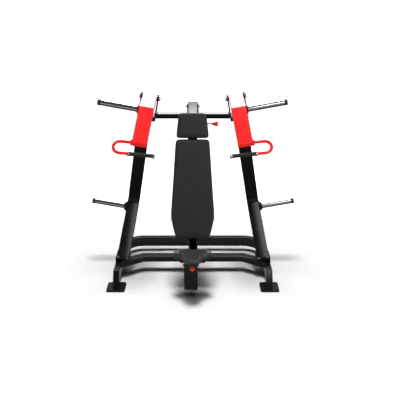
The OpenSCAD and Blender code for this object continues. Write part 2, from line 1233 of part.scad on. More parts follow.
function seat_half() = [
  [118, 0], [140, -8], [seat_w / 2 - 4, -58], [seat_w / 2, -84], [seat_w / 2 - 8, -108],
  [seat_w / 2 - 34, -128], [106, -146], [72, -190], [66, -0.93 * seat_len], [50, -seat_len]
];

module seat_slab(z0, z1, grow) {
  translate([0, seat_rear_y, z0])
    linear_extrude(height = z1 - z0)
      polygon(mirrored([for (p = seat_half()) [p[0] + grow, p[1] + (p[1] < -20 ? -grow : grow)]]));
}

module seat_board() {
  color(black)
    placed()
      seat_slab(col_hi + 8, col_hi + 26, -12);
}

module seat_pad() {
  color(vinyl)
    placed()
      seat_slab(col_hi + 26, col_hi + 76, 0);
}

module seat_pin() {
  color(red)
    placed()
      translate([0, col_front + col_wall + 1, front_up[1]])
        rotate([90, 0, 0]) {
          cylinder(d = seat_pin_d, h = 40);
          translate([0, 0, 20])
            cylinder(d1 = 26, d2 = 44, h = 14);
          translate([0, 0, 34])
            cylinder(d = 46, h = 14);
          translate([0, 0, 48])
            cylinder(d1 = 46, d2 = 30, h = 6);
        }
}

base_tube();
front_cross_tube();
front_legs();
rear_legs();
foot_plates();
foot_rubbers();
saddles();
upright_flanges();
upright_l();
upright_r();
flange_bolts();
head_beams();
clevis_spacers();
clevis_plates();
arm_axles();
axle_nuts();
top_cross_tube();
arm_stops();
storage_horns();
storage_collars();
storage_caps();
front_post();
spine();
top_link();
link_brackets();
bracket_bolts();
link_end_cap();
link_cheeks();
rear_link_bolts();
pin_housing();
back_board();
back_pad();
head_stem();
head_board();
head_pad();
head_pin();
head_knob();
arm_l();
arm_hub_l();
horn_l();
horn_collar_l();
horn_cap_l();
handle_l();
collars_l();
grip_l();
arm_r();
arm_hub_r();
horn_r();
horn_collar_r();
horn_cap_r();
handle_r();
collars_r();
grip_r();
upper_link();
lower_link();
seat_column();
front_link_bolts();
seat_board();
seat_pad();
seat_pin();
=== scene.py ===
# %% [markdown]
# # A plate-loaded shoulder press, dressed piece by piece
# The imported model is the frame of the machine. It gives every tube, plate, pad and bolt its place,
# in metres, and says which body each one moves with. This script leaves the frame where it is and
# gives it looks: rounded tube corners, weld beads, chamfered bolt heads, chrome, swelled pads.

# %% Load the frame
import math
import bmesh
import bpy
from mathutils import Matrix, Vector
from mathutils.bvhtree import BVHTree


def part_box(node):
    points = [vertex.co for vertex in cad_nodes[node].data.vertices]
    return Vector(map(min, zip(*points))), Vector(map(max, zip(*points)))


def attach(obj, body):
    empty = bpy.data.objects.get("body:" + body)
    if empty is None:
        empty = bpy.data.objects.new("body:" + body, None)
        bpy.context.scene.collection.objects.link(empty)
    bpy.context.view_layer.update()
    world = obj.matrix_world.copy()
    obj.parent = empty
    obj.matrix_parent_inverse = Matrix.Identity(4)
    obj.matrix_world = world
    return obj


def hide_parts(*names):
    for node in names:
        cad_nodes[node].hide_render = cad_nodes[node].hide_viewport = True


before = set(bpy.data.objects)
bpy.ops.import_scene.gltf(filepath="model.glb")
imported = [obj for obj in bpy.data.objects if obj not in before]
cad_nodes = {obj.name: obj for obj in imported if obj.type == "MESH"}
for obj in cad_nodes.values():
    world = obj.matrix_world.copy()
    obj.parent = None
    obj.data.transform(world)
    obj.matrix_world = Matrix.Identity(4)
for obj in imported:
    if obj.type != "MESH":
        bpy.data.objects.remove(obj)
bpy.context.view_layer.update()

# %% [markdown]
# The side frames lean inwards and the pads lean back, so most pieces are easier to describe in a
# tilted frame of their own. A few small helpers turn such sizes into places in the machine.

# %% Places on the machine
LEAN = math.radians(10.5)
RECLINE = math.radians(17.7)
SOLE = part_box("foot_rubbers")
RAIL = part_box("base_tube")
SHIFT = 0.0105
FOOT_Y = -0.265 + SHIFT


def lean(side, out, y, up):
    """A point of a side frame: side is -1 or 1, out is away from the user, up is along the lean."""
    x = side * (0.705 + out * math.cos(LEAN) - up * math.sin(LEAN))
    return Vector((x, y + SHIFT, up * math.cos(LEAN) + out * math.sin(LEAN)))


def lean_out(side):
    return Vector((side * math.cos(LEAN), 0, math.sin(LEAN)))


def lean_up(side):
    return Vector((-side * math.sin(LEAN), 0, math.cos(LEAN)))


def on_pads(x, y, z):
    """A point of the back rest: z runs up along the pads and y goes to the rear through them."""
    c, s = math.cos(RECLINE), math.sin(RECLINE)
    return Vector((x, -0.255 + y * c + z * s + SHIFT, 0.506 + z * c - y * s))


def level(x, y, z):
    return Vector((x, y + SHIFT, z))


print("soles", [round(v, 3) for v in SOLE[1]], "rail top", round(RAIL[1].z, 3))

# %% [markdown]
# ## Finishes
# A finish is a small network of shader nodes. Every one starts from the same base: a Principled
# shader whose colour, roughness and bump come from noise at the real scale of the surface, in
# metres. The noise reads Object coordinates, so it stays fixed to the piece.

# %% A base for every finish
def finish(name, dark, light, rough, grain=(300.0, 0.0001), patch=9.0, metal=0.0, coat=0.0,
           coat_rough=0.05, sheen=0.0, ior=1.5, stretch=(1, 1, 1), cells=0.0):
    mat = bpy.data.materials.new(name)
    mat.use_nodes = True
    mat.diffuse_color = (*light, 1)
    tree = mat.node_tree
    tree.nodes.clear()
    new, link = tree.nodes.new, tree.links.new
    out = new("ShaderNodeOutputMaterial")
    shader = new("ShaderNodeBsdfPrincipled")
    link(shader.outputs[0], out.inputs["Surface"])
    shader.inputs["Metallic"].default_value = metal
    shader.inputs["IOR"].default_value = ior
    shader.inputs["Coat Weight"].default_value = coat
    shader.inputs["Coat Roughness"].default_value = coat_rough
    shader.inputs["Sheen Weight"].default_value = sheen
    where = new("ShaderNodeTexCoord")
    mapping = new("ShaderNodeMapping")
    mapping.inputs["Scale"].default_value = stretch
    link(where.outputs["Object"], mapping.inputs["Vector"])
    broad = new("ShaderNodeTexNoise")
    broad.inputs["Scale"].default_value = patch
    broad.inputs["Detail"].default_value = 5
    fine = new("ShaderNodeTexNoise")
    fine.inputs["Scale"].default_value = grain[0]
    fine.inputs["Detail"].default_value = 4
    link(mapping.outputs[0], broad.inputs["Vector"])
    link(mapping.outputs[0], fine.inputs["Vector"])
    both = new("ShaderNodeMix")
    both.inputs["Factor"].default_value = 0.55
    link(broad.outputs["Fac"], both.inputs["A"])
    link(fine.outputs["Fac"], both.inputs["B"])
    ramp = new("ShaderNodeValToRGB")
    ramp.color_ramp.elements[0].position = 0.32
    ramp.color_ramp.elements[0].color = (*dark, 1)
    ramp.color_ramp.elements[1].position = 0.68
    ramp.color_ramp.elements[1].color = (*light, 1)
    link(both.outputs["Result"], ramp.inputs["Fac"])
    link(ramp.outputs[0], shader.inputs["Base Color"])
    spread = new("ShaderNodeMapRange")
    spread.inputs["From Min"].default_value = 0.3
    spread.inputs["From Max"].default_value = 0.7
    spread.inputs["To Min"].default_value = rough[0]
    spread.inputs["To Max"].default_value = rough[1]
    link(both.outputs["Result"], spread.inputs["Value"])
    link(spread.outputs[0], shader.inputs["Roughness"])
    bump = new("ShaderNodeBump")
    bump.inputs["Distance"].default_value = grain[1]
    bump.inputs["Strength"].default_value = 0.6
    height = fine.outputs["Fac"]
    if cells:
        pores = new("ShaderNodeTexVoronoi")
        pores.feature = "DISTANCE_TO_EDGE"
        pores.inputs["Scale"].default_value = cells
        link(mapping.outputs[0], pores.inputs["Vector"])
        stack = new("ShaderNodeMath")
        stack.operation = "MULTIPLY_ADD"
        stack.inputs[1].default_value = 1.6
        link(pores.outputs["Distance"], stack.inputs[0])
        link(fine.outputs["Fac"], stack.inputs[2])
        height = stack.outputs[0]
    link(height, bump.inputs["Height"])
    link(bump.outputs[0], shader.inputs["Normal"])
    return mat


print("finish: two noises together set colour and roughness, the finer one the bump")

# %% [markdown]
# The frame wears gloss black powder coat: nearly black, with the faint orange peel that powder
# leaves. The arms and handles wear gloss red. The horns and the rings on the handles are polished
# chrome, barely uneven. Pads are matt black vinyl with small pores; the seat's vinyl is shinier,
# and its colour is painted lighter than the pads' as painted light for the highlights on its top.

# %% The finishes of this machine
black_coat = finish("black_powder_coat", (0.0040, 0.0041, 0.0042), (0.0075, 0.0076, 0.0078), (0.15, 0.24),
                    (420.0, 0.00002), 5.0, ior=1.42)
red_coat = finish("red_powder_coat", (0.84, 0.004, 0.004), (0.93, 0.007, 0.006), (0.20, 0.28),
                  (420.0, 0.00005), 5.0)
chrome = finish("polished_chrome", (0.56, 0.56, 0.57), (0.72, 0.72, 0.73), (0.06, 0.13),
                (700.0, 0.00001), 14.0, metal=1.0)
zinc = finish("zinc_plated_steel", (0.55, 0.56, 0.58), (0.78, 0.79, 0.80), (0.18, 0.34),
              (900.0, 0.00003), 60.0, metal=1.0)
vinyl = finish("pad_vinyl", (0.010, 0.010, 0.010), (0.020, 0.020, 0.0196), (0.52, 0.66),
               (900.0, 0.00022), 16.0, sheen=0.05, cells=520.0)
# Painted light: the seat vinyl's colour is set lighter than the pad vinyl's to stand in for the highlights on
# the seat's top. Its coat and low roughness are real gloss.
seat_vinyl_painted_lighter = finish("seat_vinyl_painted_lighter", (0.028, 0.028, 0.028), (0.040, 0.040, 0.040), (0.20, 0.28),
                    (900.0, 0.00005), 16.0, coat=0.6, coat_rough=0.16, cells=560.0)
rubber = finish("moulded_rubber", (0.010, 0.010, 0.010), (0.021, 0.021, 0.021), (0.55, 0.75),
                (1100.0, 0.00012), 30.0)
plastic = finish("black_plastic", (0.012, 0.012, 0.012), (0.020, 0.020, 0.020), (0.30, 0.45),
                 (1300.0, 0.00005), 30.0)
knob_red = finish("red_plastic", (0.74, 0.010, 0.012), (0.86, 0.020, 0.018), (0.22, 0.34),
                  (1200.0, 0.00004), 40.0, coat=0.3)
plywood = finish("stained_plywood", (0.012, 0.010, 0.009), (0.045, 0.038, 0.032), (0.55, 0.75),
                 (160.0, 0.00025), 20.0, stretch=(1, 1, 14))
thread = finish("black_thread", (0.015, 0.015, 0.015), (0.035, 0.035, 0.035), (0.6, 0.8),
                (2200.0, 0.0001), 80.0)

# %% [markdown]
# ## Building pieces
# Most of this machine is tube, plate, turned bar and bent bar, so four makers cover it. Each writes its
# vertices and faces directly, in the machine's frame, so that the finished object sits at the
# origin. Normals are recalculated once, on the closed shell.

# %% From points and faces to a piece
def piece(name, points, faces, mat, body, nodes=(), smooth=21.0):
    mesh = bpy.data.meshes.new(name)
    mesh.from_pydata([tuple(p) for p in points], [], faces)
    bm = bmesh.new()
    bm.from_mesh(mesh)
    bmesh.ops.remove_doubles(bm, verts=bm.verts, dist=1e-6)
    bmesh.ops.recalc_face_normals(bm, faces=bm.faces)
    for edge in bm.edges:
        edge.smooth = len(edge.link_faces) == 2 and edge.calc_face_angle(0) < math.radians(smooth)
    for face in bm.faces:
        face.smooth = True
    bm.to_mesh(mesh)
    bm.free()
    obj = bpy.data.objects.new(name, mesh)
    bpy.context.scene.collection.objects.link(obj)
    return dress(obj, mat, body, nodes)


def dress(obj, mat, body, nodes=()):
    obj.data.materials.clear()
    obj.data.materials.append(mat)
    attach(obj, body)
    if nodes:
        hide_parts(*nodes)
    return obj


def stitch_rings(rings, closed_ends=True):
    """Joins rings of equal length into a tube, with a fan at each end."""
    n = len(rings[0])
    points = [p for ring in rings for p in ring]
    faces = []
    for i in range(len(rings) - 1):
        for j in range(n):
            k = (j + 1) % n
            faces.append((i * n + j, i * n + k, (i + 1) * n + k, (i + 1) * n + j))
    if closed_ends:
        faces.append(tuple(range(n)))
        faces.append(tuple(range((len(rings) - 1) * n, len(rings) * n)))
    return points, faces


def joined(parts):
    """Puts several (points, faces) pairs into one."""
    points, faces = [], []
    for p, f in parts:
        base = len(points)
        points += p
        faces += [tuple(base + i for i in face) for face in f]
    return points, faces


print("helpers ready: piece, dress, stitch_rings, joined")

# %% [markdown]
# A rectangular tube is a rounded rectangle carried along a path. The path bends in one plane, so
# the axis square to that plane stays the same all the way and the tube cannot twist. At a mitre the
# ring is stretched to keep the wall straight. The end rings can be cut by a plane, as a saw does.

# %% Rectangular tube along a path
def fillet(corners, radii, steps=14):
    """Replaces each inner corner of a path by an arc of the given radius (0 keeps the mitre)."""
    path = [corners[0]]
    for a, b, c, r in zip(corners, corners[1:], corners[2:], radii):
        u, v = (b - a).normalized(), (c - b).normalized()
        turn = u.angle(v)
        if not r or turn < 1e-4:
            path.append(b)
            continue
        k = r * math.tan(turn / 2)
        toward = ((v - u).normalized()) * (r / math.cos(turn / 2))
        hub = b + toward
        axis = u.cross(v).normalized()
        start = b - u * k - hub
        for i in range(steps + 1):
            path.append(hub + Matrix.Rotation(turn * i / steps, 3, axis) @ start)
    path.append(corners[-1])
    return path


def tube(path, across, wide, deep, round_to=0.007, start_cut=None, end_cut=None, steps=5):
    """wide is along the steady axis, deep is in the plane of the bends."""
    across = across.normalized()
    outline = []
    for cx, cy, a0 in ((1, 1, 0), (-1, 1, 90), (-1, -1, 180), (1, -1, 270)):
        for i in range(steps + 1):
            a = math.radians(a0 + 90 * i / steps)
            outline.append((cx * (wide / 2 - round_to) + round_to * math.cos(a),
                            cy * (deep / 2 - round_to) + round_to * math.sin(a)))
    rings = []
    for i, p in enumerate(path):
        before = (p - path[i - 1]).normalized() if i else None
        after = (path[i + 1] - p).normalized() if i + 1 < len(path) else None
        t = ((before or after) + (after or before)).normalized()
        grow = 1 / max(0.5, t.dot(before or after))
        lift = across.cross(t).normalized() * grow
        ring = [p + across * u + lift * v for u, v in outline]
        cut = start_cut if i == 0 else end_cut if i + 1 == len(path) else None
        if cut:
            at, face = cut
            ring = [q + t * ((at - q).dot(face) / t.dot(face)) for q in ring]
        rings.append(ring)
    return stitch_rings(rings)


print("makers ready: fillet, tube")

# %% [markdown]
# A plate is an outline with a thickness. Laser-cut plates have a small rounded edge from grinding,
# which catches the light, so the outline is drawn in a little at both faces. A turned part is a
# profile of radii spun round an axis. A bent round bar is a circle carried along a curve.

# %% Plates, turned parts and round bar
def drawn_in(outline, by):
    out = []
    n = len(outline)
    turn = sum(a[0] * b[1] - a[1] * b[0] for a, b in zip(outline, outline[1:] + outline[:1]))
    sign = 1 if turn > 0 else -1
    for i, p in enumerate(outline):
        a, b = Vector(outline[i - 1]), Vector(outline[(i + 1) % n])
        p = Vector(p)
        u, v = (p - a).normalized(), (b - p).normalized()
        m = (Vector((-u.y, u.x)) + Vector((-v.y, v.x))) * sign
        m = m / max(0.6, m.length_squared / 2)
        out.append(tuple(p + m * by))
    return out


def soften(outline, radius, steps=6):
    """Rounds the corners of a flat outline."""
    corners = [Vector((x, y, 0)) for x, y in outline]
    out = []
    n = len(corners)
    for i, b in enumerate(corners):
        a, c = corners[i - 1], corners[(i + 1) % n]
        r = radius[i] if isinstance(radius, (list, tuple)) else radius
        u, v = (b - a).normalized(), (c - b).normalized()
        k = min(r * math.tan(u.angle(v) / 2), (b - a).length * 0.48, (c - b).length * 0.48)
        for s in range(steps + 1):
            f = s / steps
            q = (b - u * k) * (1 - f) ** 2 + b * 2 * f * (1 - f) + (b + v * k) * f ** 2
            out.append((q.x, q.y))
    return out


def plate(outline, place, low, high, edge=0.0016):
    """place(u, v, w) turns a point of the outline at height w into a point of the machine."""
    small = drawn_in(outline, edge)
    rings = [[place(u, v, low) for u, v in small]]
    rings += [[place(u, v, low + edge) for u, v in outline]]
    rings += [[place(u, v, high - edge) for u, v in outline]]
    rings += [[place(u, v, high) for u, v in small]]
    return stitch_rings(rings)


def turned(start, along, profile, sides=72):
    """profile is a list of (distance along the axis, radius), from one end to the other."""
    along = along.normalized()
    u = along.orthogonal().normalized()
    v = along.cross(u)
    rings = []
    for d, r in profile:
        r = max(r, 1e-5)
        rings.append([start + along * d + (u * math.cos(a) + v * math.sin(a)) * r
                      for a in [math.tau * j / sides for j in range(sides)]])
    return stitch_rings(rings)


def round_bar(path, radius, sides=28):
    rings = []
    u = (path[1] - path[0]).orthogonal().normalized()
    for i, p in enumerate(path):
        t = (path[min(i + 1, len(path) - 1)] - path[max(i - 1, 0)]).normalized()
        u = (u - t * u.dot(t)).normalized()
        v = t.cross(u)
        rings.append([p + (u * math.cos(a) + v * math.sin(a)) * radius
                      for a in [math.tau * j / sides for j in range(sides)]])
    return stitch_rings(rings)


def bevelled(length, radius, edge=0.002, start=0.0):
    """The profile of a bar with eased ends."""
    return [(start, radius - edge), (start + edge * 0.3, radius - edge * 0.3), (start + edge, radius),
            (start + length - edge, radius), (start + length - edge * 0.3, radius - edge * 0.3),
            (start + length, radius - edge)]


print("makers ready: plate, turned, round_bar")

# %% [markdown]
# ## The base
# The base is a single tube bent to a wide U, with a cross tube in front of it and a sloping leg at
# each front corner. The U is one sweep: its corners are true bends, so the rounded edges run
# through them without a break.

# %% Base tube and front cross tube
HALF = 0.709
REAR = 0.498
rail_mid = (RAIL[0].z + RAIL[1].z) / 2
rail_high = RAIL[1].z - RAIL[0].z
corners = [level(-HALF, -0.110, rail_mid), level(-HALF, REAR, rail_mid), level(HALF, REAR, rail_mid),
           level(HALF, -0.110, rail_mid)]
up = Vector((0, 0, 1))
base = piece("base_rails", *tube(fillet(corners, [0.195, 0.195], 20), up, rail_high, 0.056, 0.009),
             black_coat, "frame", ["base_tube"])
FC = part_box("front_cross_tube")
fc_mid = (FC[0].z + FC[1].z) / 2
x_end = HALF - 0.028
slope = 0.115 / (x_end - 0.483)
y_end = 0.075 - slope * (x_end - 0.483)
front_path = [level(-x_end, y_end, fc_mid), level(-0.483, 0.075, fc_mid), level(0.483, 0.075, fc_mid),
              level(x_end, y_end, fc_mid)]
inner = Vector((1, 0, 0))
cross = piece("front_cross", *tube(front_path, up, FC[1].z - FC[0].z, 0.080, 0.008,
              (front_path[0], inner), (front_path[-1], inner)), black_coat, "frame", ["front_cross_tube"])
print("base:", len(base.data.polygons), "faces; cross tube:", len(cross.data.polygons))

# %% [markdown]
# Each front leg is a short fabricated box: the rail's end turns down to a foot plate. It is one
# outline seen from the side, so the plate maker builds it, with a larger rounding than a plate's.

# %% Front legs
legs = []
leg_outline = [(0.155, 0.058), (0.155, 0.160), (0.046, 0.160), (-0.056, 0.018), (0.040, 0.018),
               (0.086, 0.058)]
for s in (-1, 1):
    def sideways(u, v, w, s=s):
        return Vector((s * HALF + w, FOOT_Y + u, v))
    legs.append(plate(soften(leg_outline, [0.001, 0.001, 0.016, 0.004, 0.004, 0.012]), sideways,
                      -0.028, 0.028, 0.006))
piece("front_leg_boxes", *joined(legs), black_coat, "frame", ["front_legs"])
print("legs:", len(legs))

# %% [markdown]
# ## The side frames
# Each upright is a wide flat tube that leans back from the floor and bends forward at knee height.
# It stands on a bolted flange and carries a short head beam. The cut at each end follows the part
# it is welded to, so the end rings are cut by that part's plane.

# %% Uprights, head beams and flanges
for s, tag in ((-1, "l"), (1, "r")):
    foot, knee, top = lean(s, 0, 0.011, 0.198), lean(s, 0, 0.354, 0.642), lean(s, 0, 0.130, 1.448)
    path = fillet([foot, knee, top], [0.090], 12)
    floor_cut = (foot, lean_up(s))
    beam_a, beam_b = lean(s, 0, 0.112, 1.440), lean(s, 0, 0.455, 1.500)
    beam_dir = (beam_b - beam_a).normalized()
    beam_up = lean_out(s).cross(beam_dir).normalized() * -s
    beam_up = beam_up if beam_up.z > 0 else -beam_up
    top_cut = (beam_a - beam_up * 0.026, beam_up)
    piece("upright_" + ("left" if s < 0 else "right"), *tube(path, lean_out(s), 0.115, 0.065, 0.009,
          floor_cut, top_cut, 6), black_coat, "frame", ["upright_" + tag])
beams, flanges = [], []
for s in (-1, 1):
    beam_a, beam_b = lean(s, 0, 0.112, 1.440), lean(s, 0, 0.455, 1.500)
    beams.append(tube([beam_a, beam_b], lean_out(s), 0.115, 0.056, 0.008))

    def on_flange(u, v, w, s=s):
        return lean(s, u, 0.011 + v, 0.186 + w)
    flanges.append(plate(soften([(-0.0675, -0.074), (0.0675, -0.074), (0.0675, 0.082), (-0.0675, 0.082)],
                                0.008, 4), on_flange, 0.0, 0.012, 0.0015))
piece("head_beam_pair", *joined(beams), black_coat, "frame", ["head_beams"])
piece("flange_pair", *joined(flanges), black_coat, "frame", ["upright_flanges"])
print("side frames built")

# %% [markdown]
# The top cross tube joins the two sides behind the pads. It is turned a little about its own
# length so that its top face tips forward, which is why it shines from the front.

# %% Top cross tube and centre link
tilt = math.radians(15)
x_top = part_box("top_cross_tube")[1].x - 0.004
mid_top = Vector((0, 0.465 + SHIFT, 1.458))
tip = Vector((0, -math.sin(tilt), math.cos(tilt)))
half_top = Vector((x_top, 0, 0))
piece("top_tube", *tube([mid_top - half_top, mid_top + half_top], tip, 0.048, 0.060, 0.006), black_coat,
      "frame", ["top_cross_tube"])
spine_y, spine_hi = 0.080, 1.104
rear_end = level(0, 0.480, 1.553)
link_foot = on_pads(0, spine_y, spine_hi - 0.040)
spine_top, spine_low = on_pads(0, spine_y, spine_hi), on_pads(0, spine_y, 0.020)
axis_x = Vector((1, 0, 0))
piece("spine_tube", *tube([spine_low, spine_top], axis_x, 0.085, 0.050, 0.007), black_coat,
      "frame", ["spine"])
back_face = (spine_top - spine_low).cross(axis_x).normalized()
piece("centre_link", *tube([link_foot, rear_end], axis_x, 0.089, 0.050, 0.007,
      (on_pads(0, spine_y + 0.025, 1.0), back_face)), black_coat, "frame", ["top_link"])
away = (rear_end - link_foot).normalized()
square = axis_x.cross(away).normalized()


def on_cap(u, v, w):
    return rear_end + axis_x * u + square * v + away * w


cap_outline = soften([(-0.0445, -0.0275), (0.0445, -0.0275), (0.0445, 0.0275), (-0.0445, 0.0275)], 0.006, 4)
piece("centre_link_cap", *plate(cap_outline, on_cap, 0.0, 0.008, 0.002), plastic, "frame", ["link_end_cap"])
post_foot, post_head = level(0, 0.065, 0.168), level(0, -0.150, 0.560)
rise = (post_head - post_foot).normalized()
piece("seat_post", *tube([post_foot - rise * 0.01, post_head], axis_x, 0.068, 0.060, 0.007, (post_foot, up),
      (on_pads(0, spine_y + 0.025, 0.1), back_face)), black_coat, "frame", ["front_post"])
print("centre: spine", round((spine_top - spine_low).length, 3), "m long")

# %% [markdown]
# Plates carry the arms' axles, the centre link and the seat links. Their outlines are the cut
# shapes; bolts go through them further on.

# %% Clevis plates, brackets and cheeks
def circle_arc(cx, cy, r, a0, a1, steps=18):
    return [(cx + r * math.cos(math.radians(a0 + (a1 - a0) * i / steps)),
             cy + r * math.sin(math.radians(a0 + (a1 - a0) * i / steps))) for i in range(steps + 1)]


clevis_outline = circle_arc(0.430, 1.662, 0.040, -4, 188) + [
    (0.340, 1.500), (0.340, 1.462), (0.435, 1.452), (0.509, 1.452), (0.509, 1.520)]
clevis = []
for s in (-1, 1):
    for low in (-0.084, 0.072):
        def upright_plane(u, v, w, s=s):
            return lean(s, w, u, v)
        clevis.append(plate(clevis_outline, upright_plane, low, low + 0.012, 0.0016))
piece("clevis_plate_set", *joined(clevis), black_coat, "frame", ["clevis_plates"])


def across_machine(u, v, w):
    return level(w, u, v)


bracket_outline = soften([(0.419, 1.468), (0.495, 1.468), (0.478, 1.569), (0.418, 1.565)], 0.008, 4)
bracket_pair = [plate(bracket_outline, across_machine, a, a + 0.010) for a in (-0.0545, 0.0445)]
piece("bracket_pair", *joined(bracket_pair), black_coat, "frame", ["link_brackets"])


def on_post(z):
    return 0.065 - 0.215 * (z - 0.168) / 0.392


up_y, up_z, low_z = -0.111, 0.377, 0.230
cheek_outline = (circle_arc(up_y, up_z, 0.024, 60, 180) + circle_arc(up_y, low_z, 0.024, 180, 280)
                 + [(on_post(0.186) - 0.020, 0.186), (on_post(0.200) + 0.016, 0.200),
                    (on_post(0.432) + 0.006, 0.432)])
piece("cheek_pair", *joined([plate(cheek_outline, across_machine, a, a + 0.008) for a in (-0.042, 0.034)]),
      black_coat, "frame", ["link_cheeks"])
print("plates:", len(clevis) + 4)

# %% [markdown]
# ## The lever arms
# An arm is a red box tube, bent once, with a cross sleeve at its front end. The handle is a round
# bar bent to a U, with one leg in the sleeve and the other in the grip. It lies in the plane of the
# arm's front part, so its points are first written in that plane.

# %% Arms, sleeves and handles
ARM_END, ARM_BEND, PIVOT = (-0.091, 1.355), (0.174, 1.601), (0.430, 1.662)
arm_angle = math.atan2(ARM_END[1] - ARM_BEND[1], ARM_END[0] - ARM_BEND[0])
EASE = math.radians(4.5)
NAMES = {-1: ("l", "arm_left", "left"), 1: ("r", "arm_right", "right")}


def on_handle(side, a, b):
    """a runs along the grip towards the user, b from the sleeve towards the grip."""
    y, z = b * math.cos(arm_angle), b * math.sin(arm_angle)
    x2, z2 = a * math.cos(EASE) - z * math.sin(EASE), a * math.sin(EASE) + z * math.cos(EASE)
    return lean(side, 0.077 - x2, ARM_END[0] + y, ARM_END[1] + z2)


for s, (tag, body, word) in NAMES.items():
    end, bend_at, back = (lean(s, 0, *p) for p in (ARM_END, ARM_BEND, PIVOT))
    tail = back + (back - bend_at).normalized() * 0.036
    out = lean_out(s)
    arm = tube([end, bend_at, tail], out, 0.134, 0.056, 0.006, steps=5)
    sleeve = turned(lean(s, -0.067, *ARM_END), out, bevelled(0.144, 0.027, 0.003))
    piece("lever_arm_" + word, *joined([arm, sleeve]), red_coat, body, ["arm_" + tag])
    r = 0.0575
    bow = [on_handle(s, 0.004, 0)] + [on_handle(s, -0.084 - r * math.sin(t), r - r * math.cos(t))
                                     for t in [math.pi * i / 36 for i in range(37)]]
    bow += [on_handle(s, a, 2 * r) for a in (0.0, 0.188)]
    piece("handle_bar_" + word, *round_bar(bow, 0.014, 32), red_coat, body, ["handle_" + tag])
    start, stop = on_handle(s, 0.004, 2 * r), on_handle(s, 0.200, 2 * r)
    along = (stop - start).normalized()
    piece("grip_sleeve_" + word, *turned(start, along, [(0, 0.0165), (0.002, 0.018), (0.008, 0.018),
          (0.011, 0.0172), (0.185, 0.0172), (0.188, 0.018), (0.194, 0.018), (0.196, 0.0165)]), rubber, body,
          ["grip_" + tag])
    rings = [turned(start - along * 0.018, along, [(0, 0.0185), (0.0008, 0.0203), (0.003, 0.021),
                                                   (0.015, 0.021), (0.0172, 0.0203), (0.018, 0.0185)])]
    rings += [turned(stop, along, [(0, 0.0195), (0.0008, 0.0213), (0.003, 0.022), (0.016, 0.022),
                                   (0.0195, 0.0205), (0.0212, 0.018), (0.022, 0.014)])]
    piece("grip_collars_" + word, *joined(rings), chrome, body, ["collars_" + tag])
    hub = turned(lean(s, -0.071, *PIVOT), out, bevelled(0.142, 0.022, 0.002))
    piece("bearing_hub_" + word, *hub, zinc, body, ["arm_hub_" + tag])
print("arms built, handle reach", round((on_handle(1, 0, 0.115) - on_handle(1, 0, 0)).length, 3), "m")

# %% [markdown]
# ## Weight horns
# A horn is polished bar. Its free end is closed by a black plastic cap, and its root sits in a
# collar, which stops the plates clear of the arm. They are turned parts, with eased edges.

# %% Horns, collars and caps
for s, (tag, body, word) in NAMES.items():
    out, root = lean_out(s), lean(s, 0.067, 0.172, 1.590)
    collar_profile = [(0, 0.039), (0.002, 0.041), (0.009, 0.041), (0.0125, 0.0385), (0.014, 0.034)]
    collar_shape = turned(root, out, collar_profile)
    piece("arm_collar_" + word, *collar_shape, black_coat, body, ["horn_collar_" + tag])
    horn_shape = turned(root + out * 0.012, out, bevelled(0.334, 0.025, 0.001), 96)
    piece("arm_horn_" + word, *horn_shape, chrome, body, ["horn_" + tag])
    cap = [(0, 0.0252), (0.001, 0.0262), (0.004, 0.0265), (0.022, 0.0265), (0.0265, 0.0252), (0.028, 0.022)]
    piece("arm_horn_cap_" + word, *turned(root + out * 0.340, out, cap), plastic, body, ["horn_cap_" + tag])
stands, stored, ends = [], [], []
for s in (-1, 1):
    out, root = lean_out(s), lean(s, 0.0575, 0.308, 0.582)
    stand_profile = [(0, 0.046), (0.0015, 0.048), (0.0065, 0.048), (0.008, 0.0465), (0.0085, 0.043),
                     (0.0245, 0.0338), (0.026, 0.032)]
    stands.append(turned(root, out, stand_profile))
    stored.append(turned(root + out * 0.024, out, bevelled(0.289, 0.025, 0.001), 96))
    ends.append(turned(root + out * 0.311, out, cap))
piece("storage_stands", *joined(stands), black_coat, "frame", ["storage_collars"])
piece("storage_bars", *joined(stored), chrome, "frame", ["storage_horns"])
piece("storage_bar_caps", *joined(ends), plastic, "frame", ["storage_caps"])
print("horns: 4")

# %% [markdown]
# ## Pull knobs
# Both pull pins end in a red knob that flares outwards, so that two fingers can hook behind it.

# %% Head and seat pull pins
pin_z = 1.022
flare = [(0, 0.0095), (0.004, 0.0105), (0.014, 0.0125), (0.026, 0.0175), (0.034, 0.0212), (0.042, 0.0226),
         (0.050, 0.0222), (0.055, 0.0196), (0.0575, 0.0150), (0.0583, 0.0060)]
guide_profile = [(0, 0.016), (0.001, 0.017), (0.005, 0.017), (0.006, 0.016), (0.0062, 0.0115),
                 (0.038, 0.0110), (0.040, 0.0098)]
piece("head_pin_guide", *turned(on_pads(0.0425, spine_y, pin_z), axis_x, guide_profile), black_coat,
      "frame", ["pin_housing"])
piece("head_pull_rod", *turned(on_pads(0.0388, spine_y, pin_z), axis_x, bevelled(0.134, 0.0055, 0.001), 32),
      plastic, "head_release", ["head_pin"])
piece("head_pull_knob", *turned(on_pads(0.170, spine_y, pin_z), axis_x, flare, 64), knob_red, "head_release",
      ["head_knob"])
COL_FRONT, PIVOT_UP, PIVOT_LOW, PIVOT_Y = -0.42528, 0.310746, 0.163746, -0.391276
towards = Vector((0, -1, 0))
knob_at = level(0, COL_FRONT + 0.007, PIVOT_UP)
ball = [(0.020, 0.0125), (0.022, 0.0145), (0.030, 0.0195), (0.036, 0.0222), (0.043, 0.0230), (0.048, 0.0218),
        (0.052, 0.0180), (0.0535, 0.0130), (0.054, 0.0060)]
piece("seat_pull_rod", *turned(knob_at, towards, bevelled(0.024, 0.005, 0.001), 32), zinc, "seat_release")
piece("seat_pull_knob", *turned(knob_at, towards, ball, 64), knob_red, "seat_release", ["seat_pin"])
print("pull knobs: 2")

# %% [markdown]
# ## Seat column
# The column is a folded channel, open at the back for the links. Its plan outline is a U, drawn
# with rounded outer corners and carried upwards; a plate on top holds the seat.

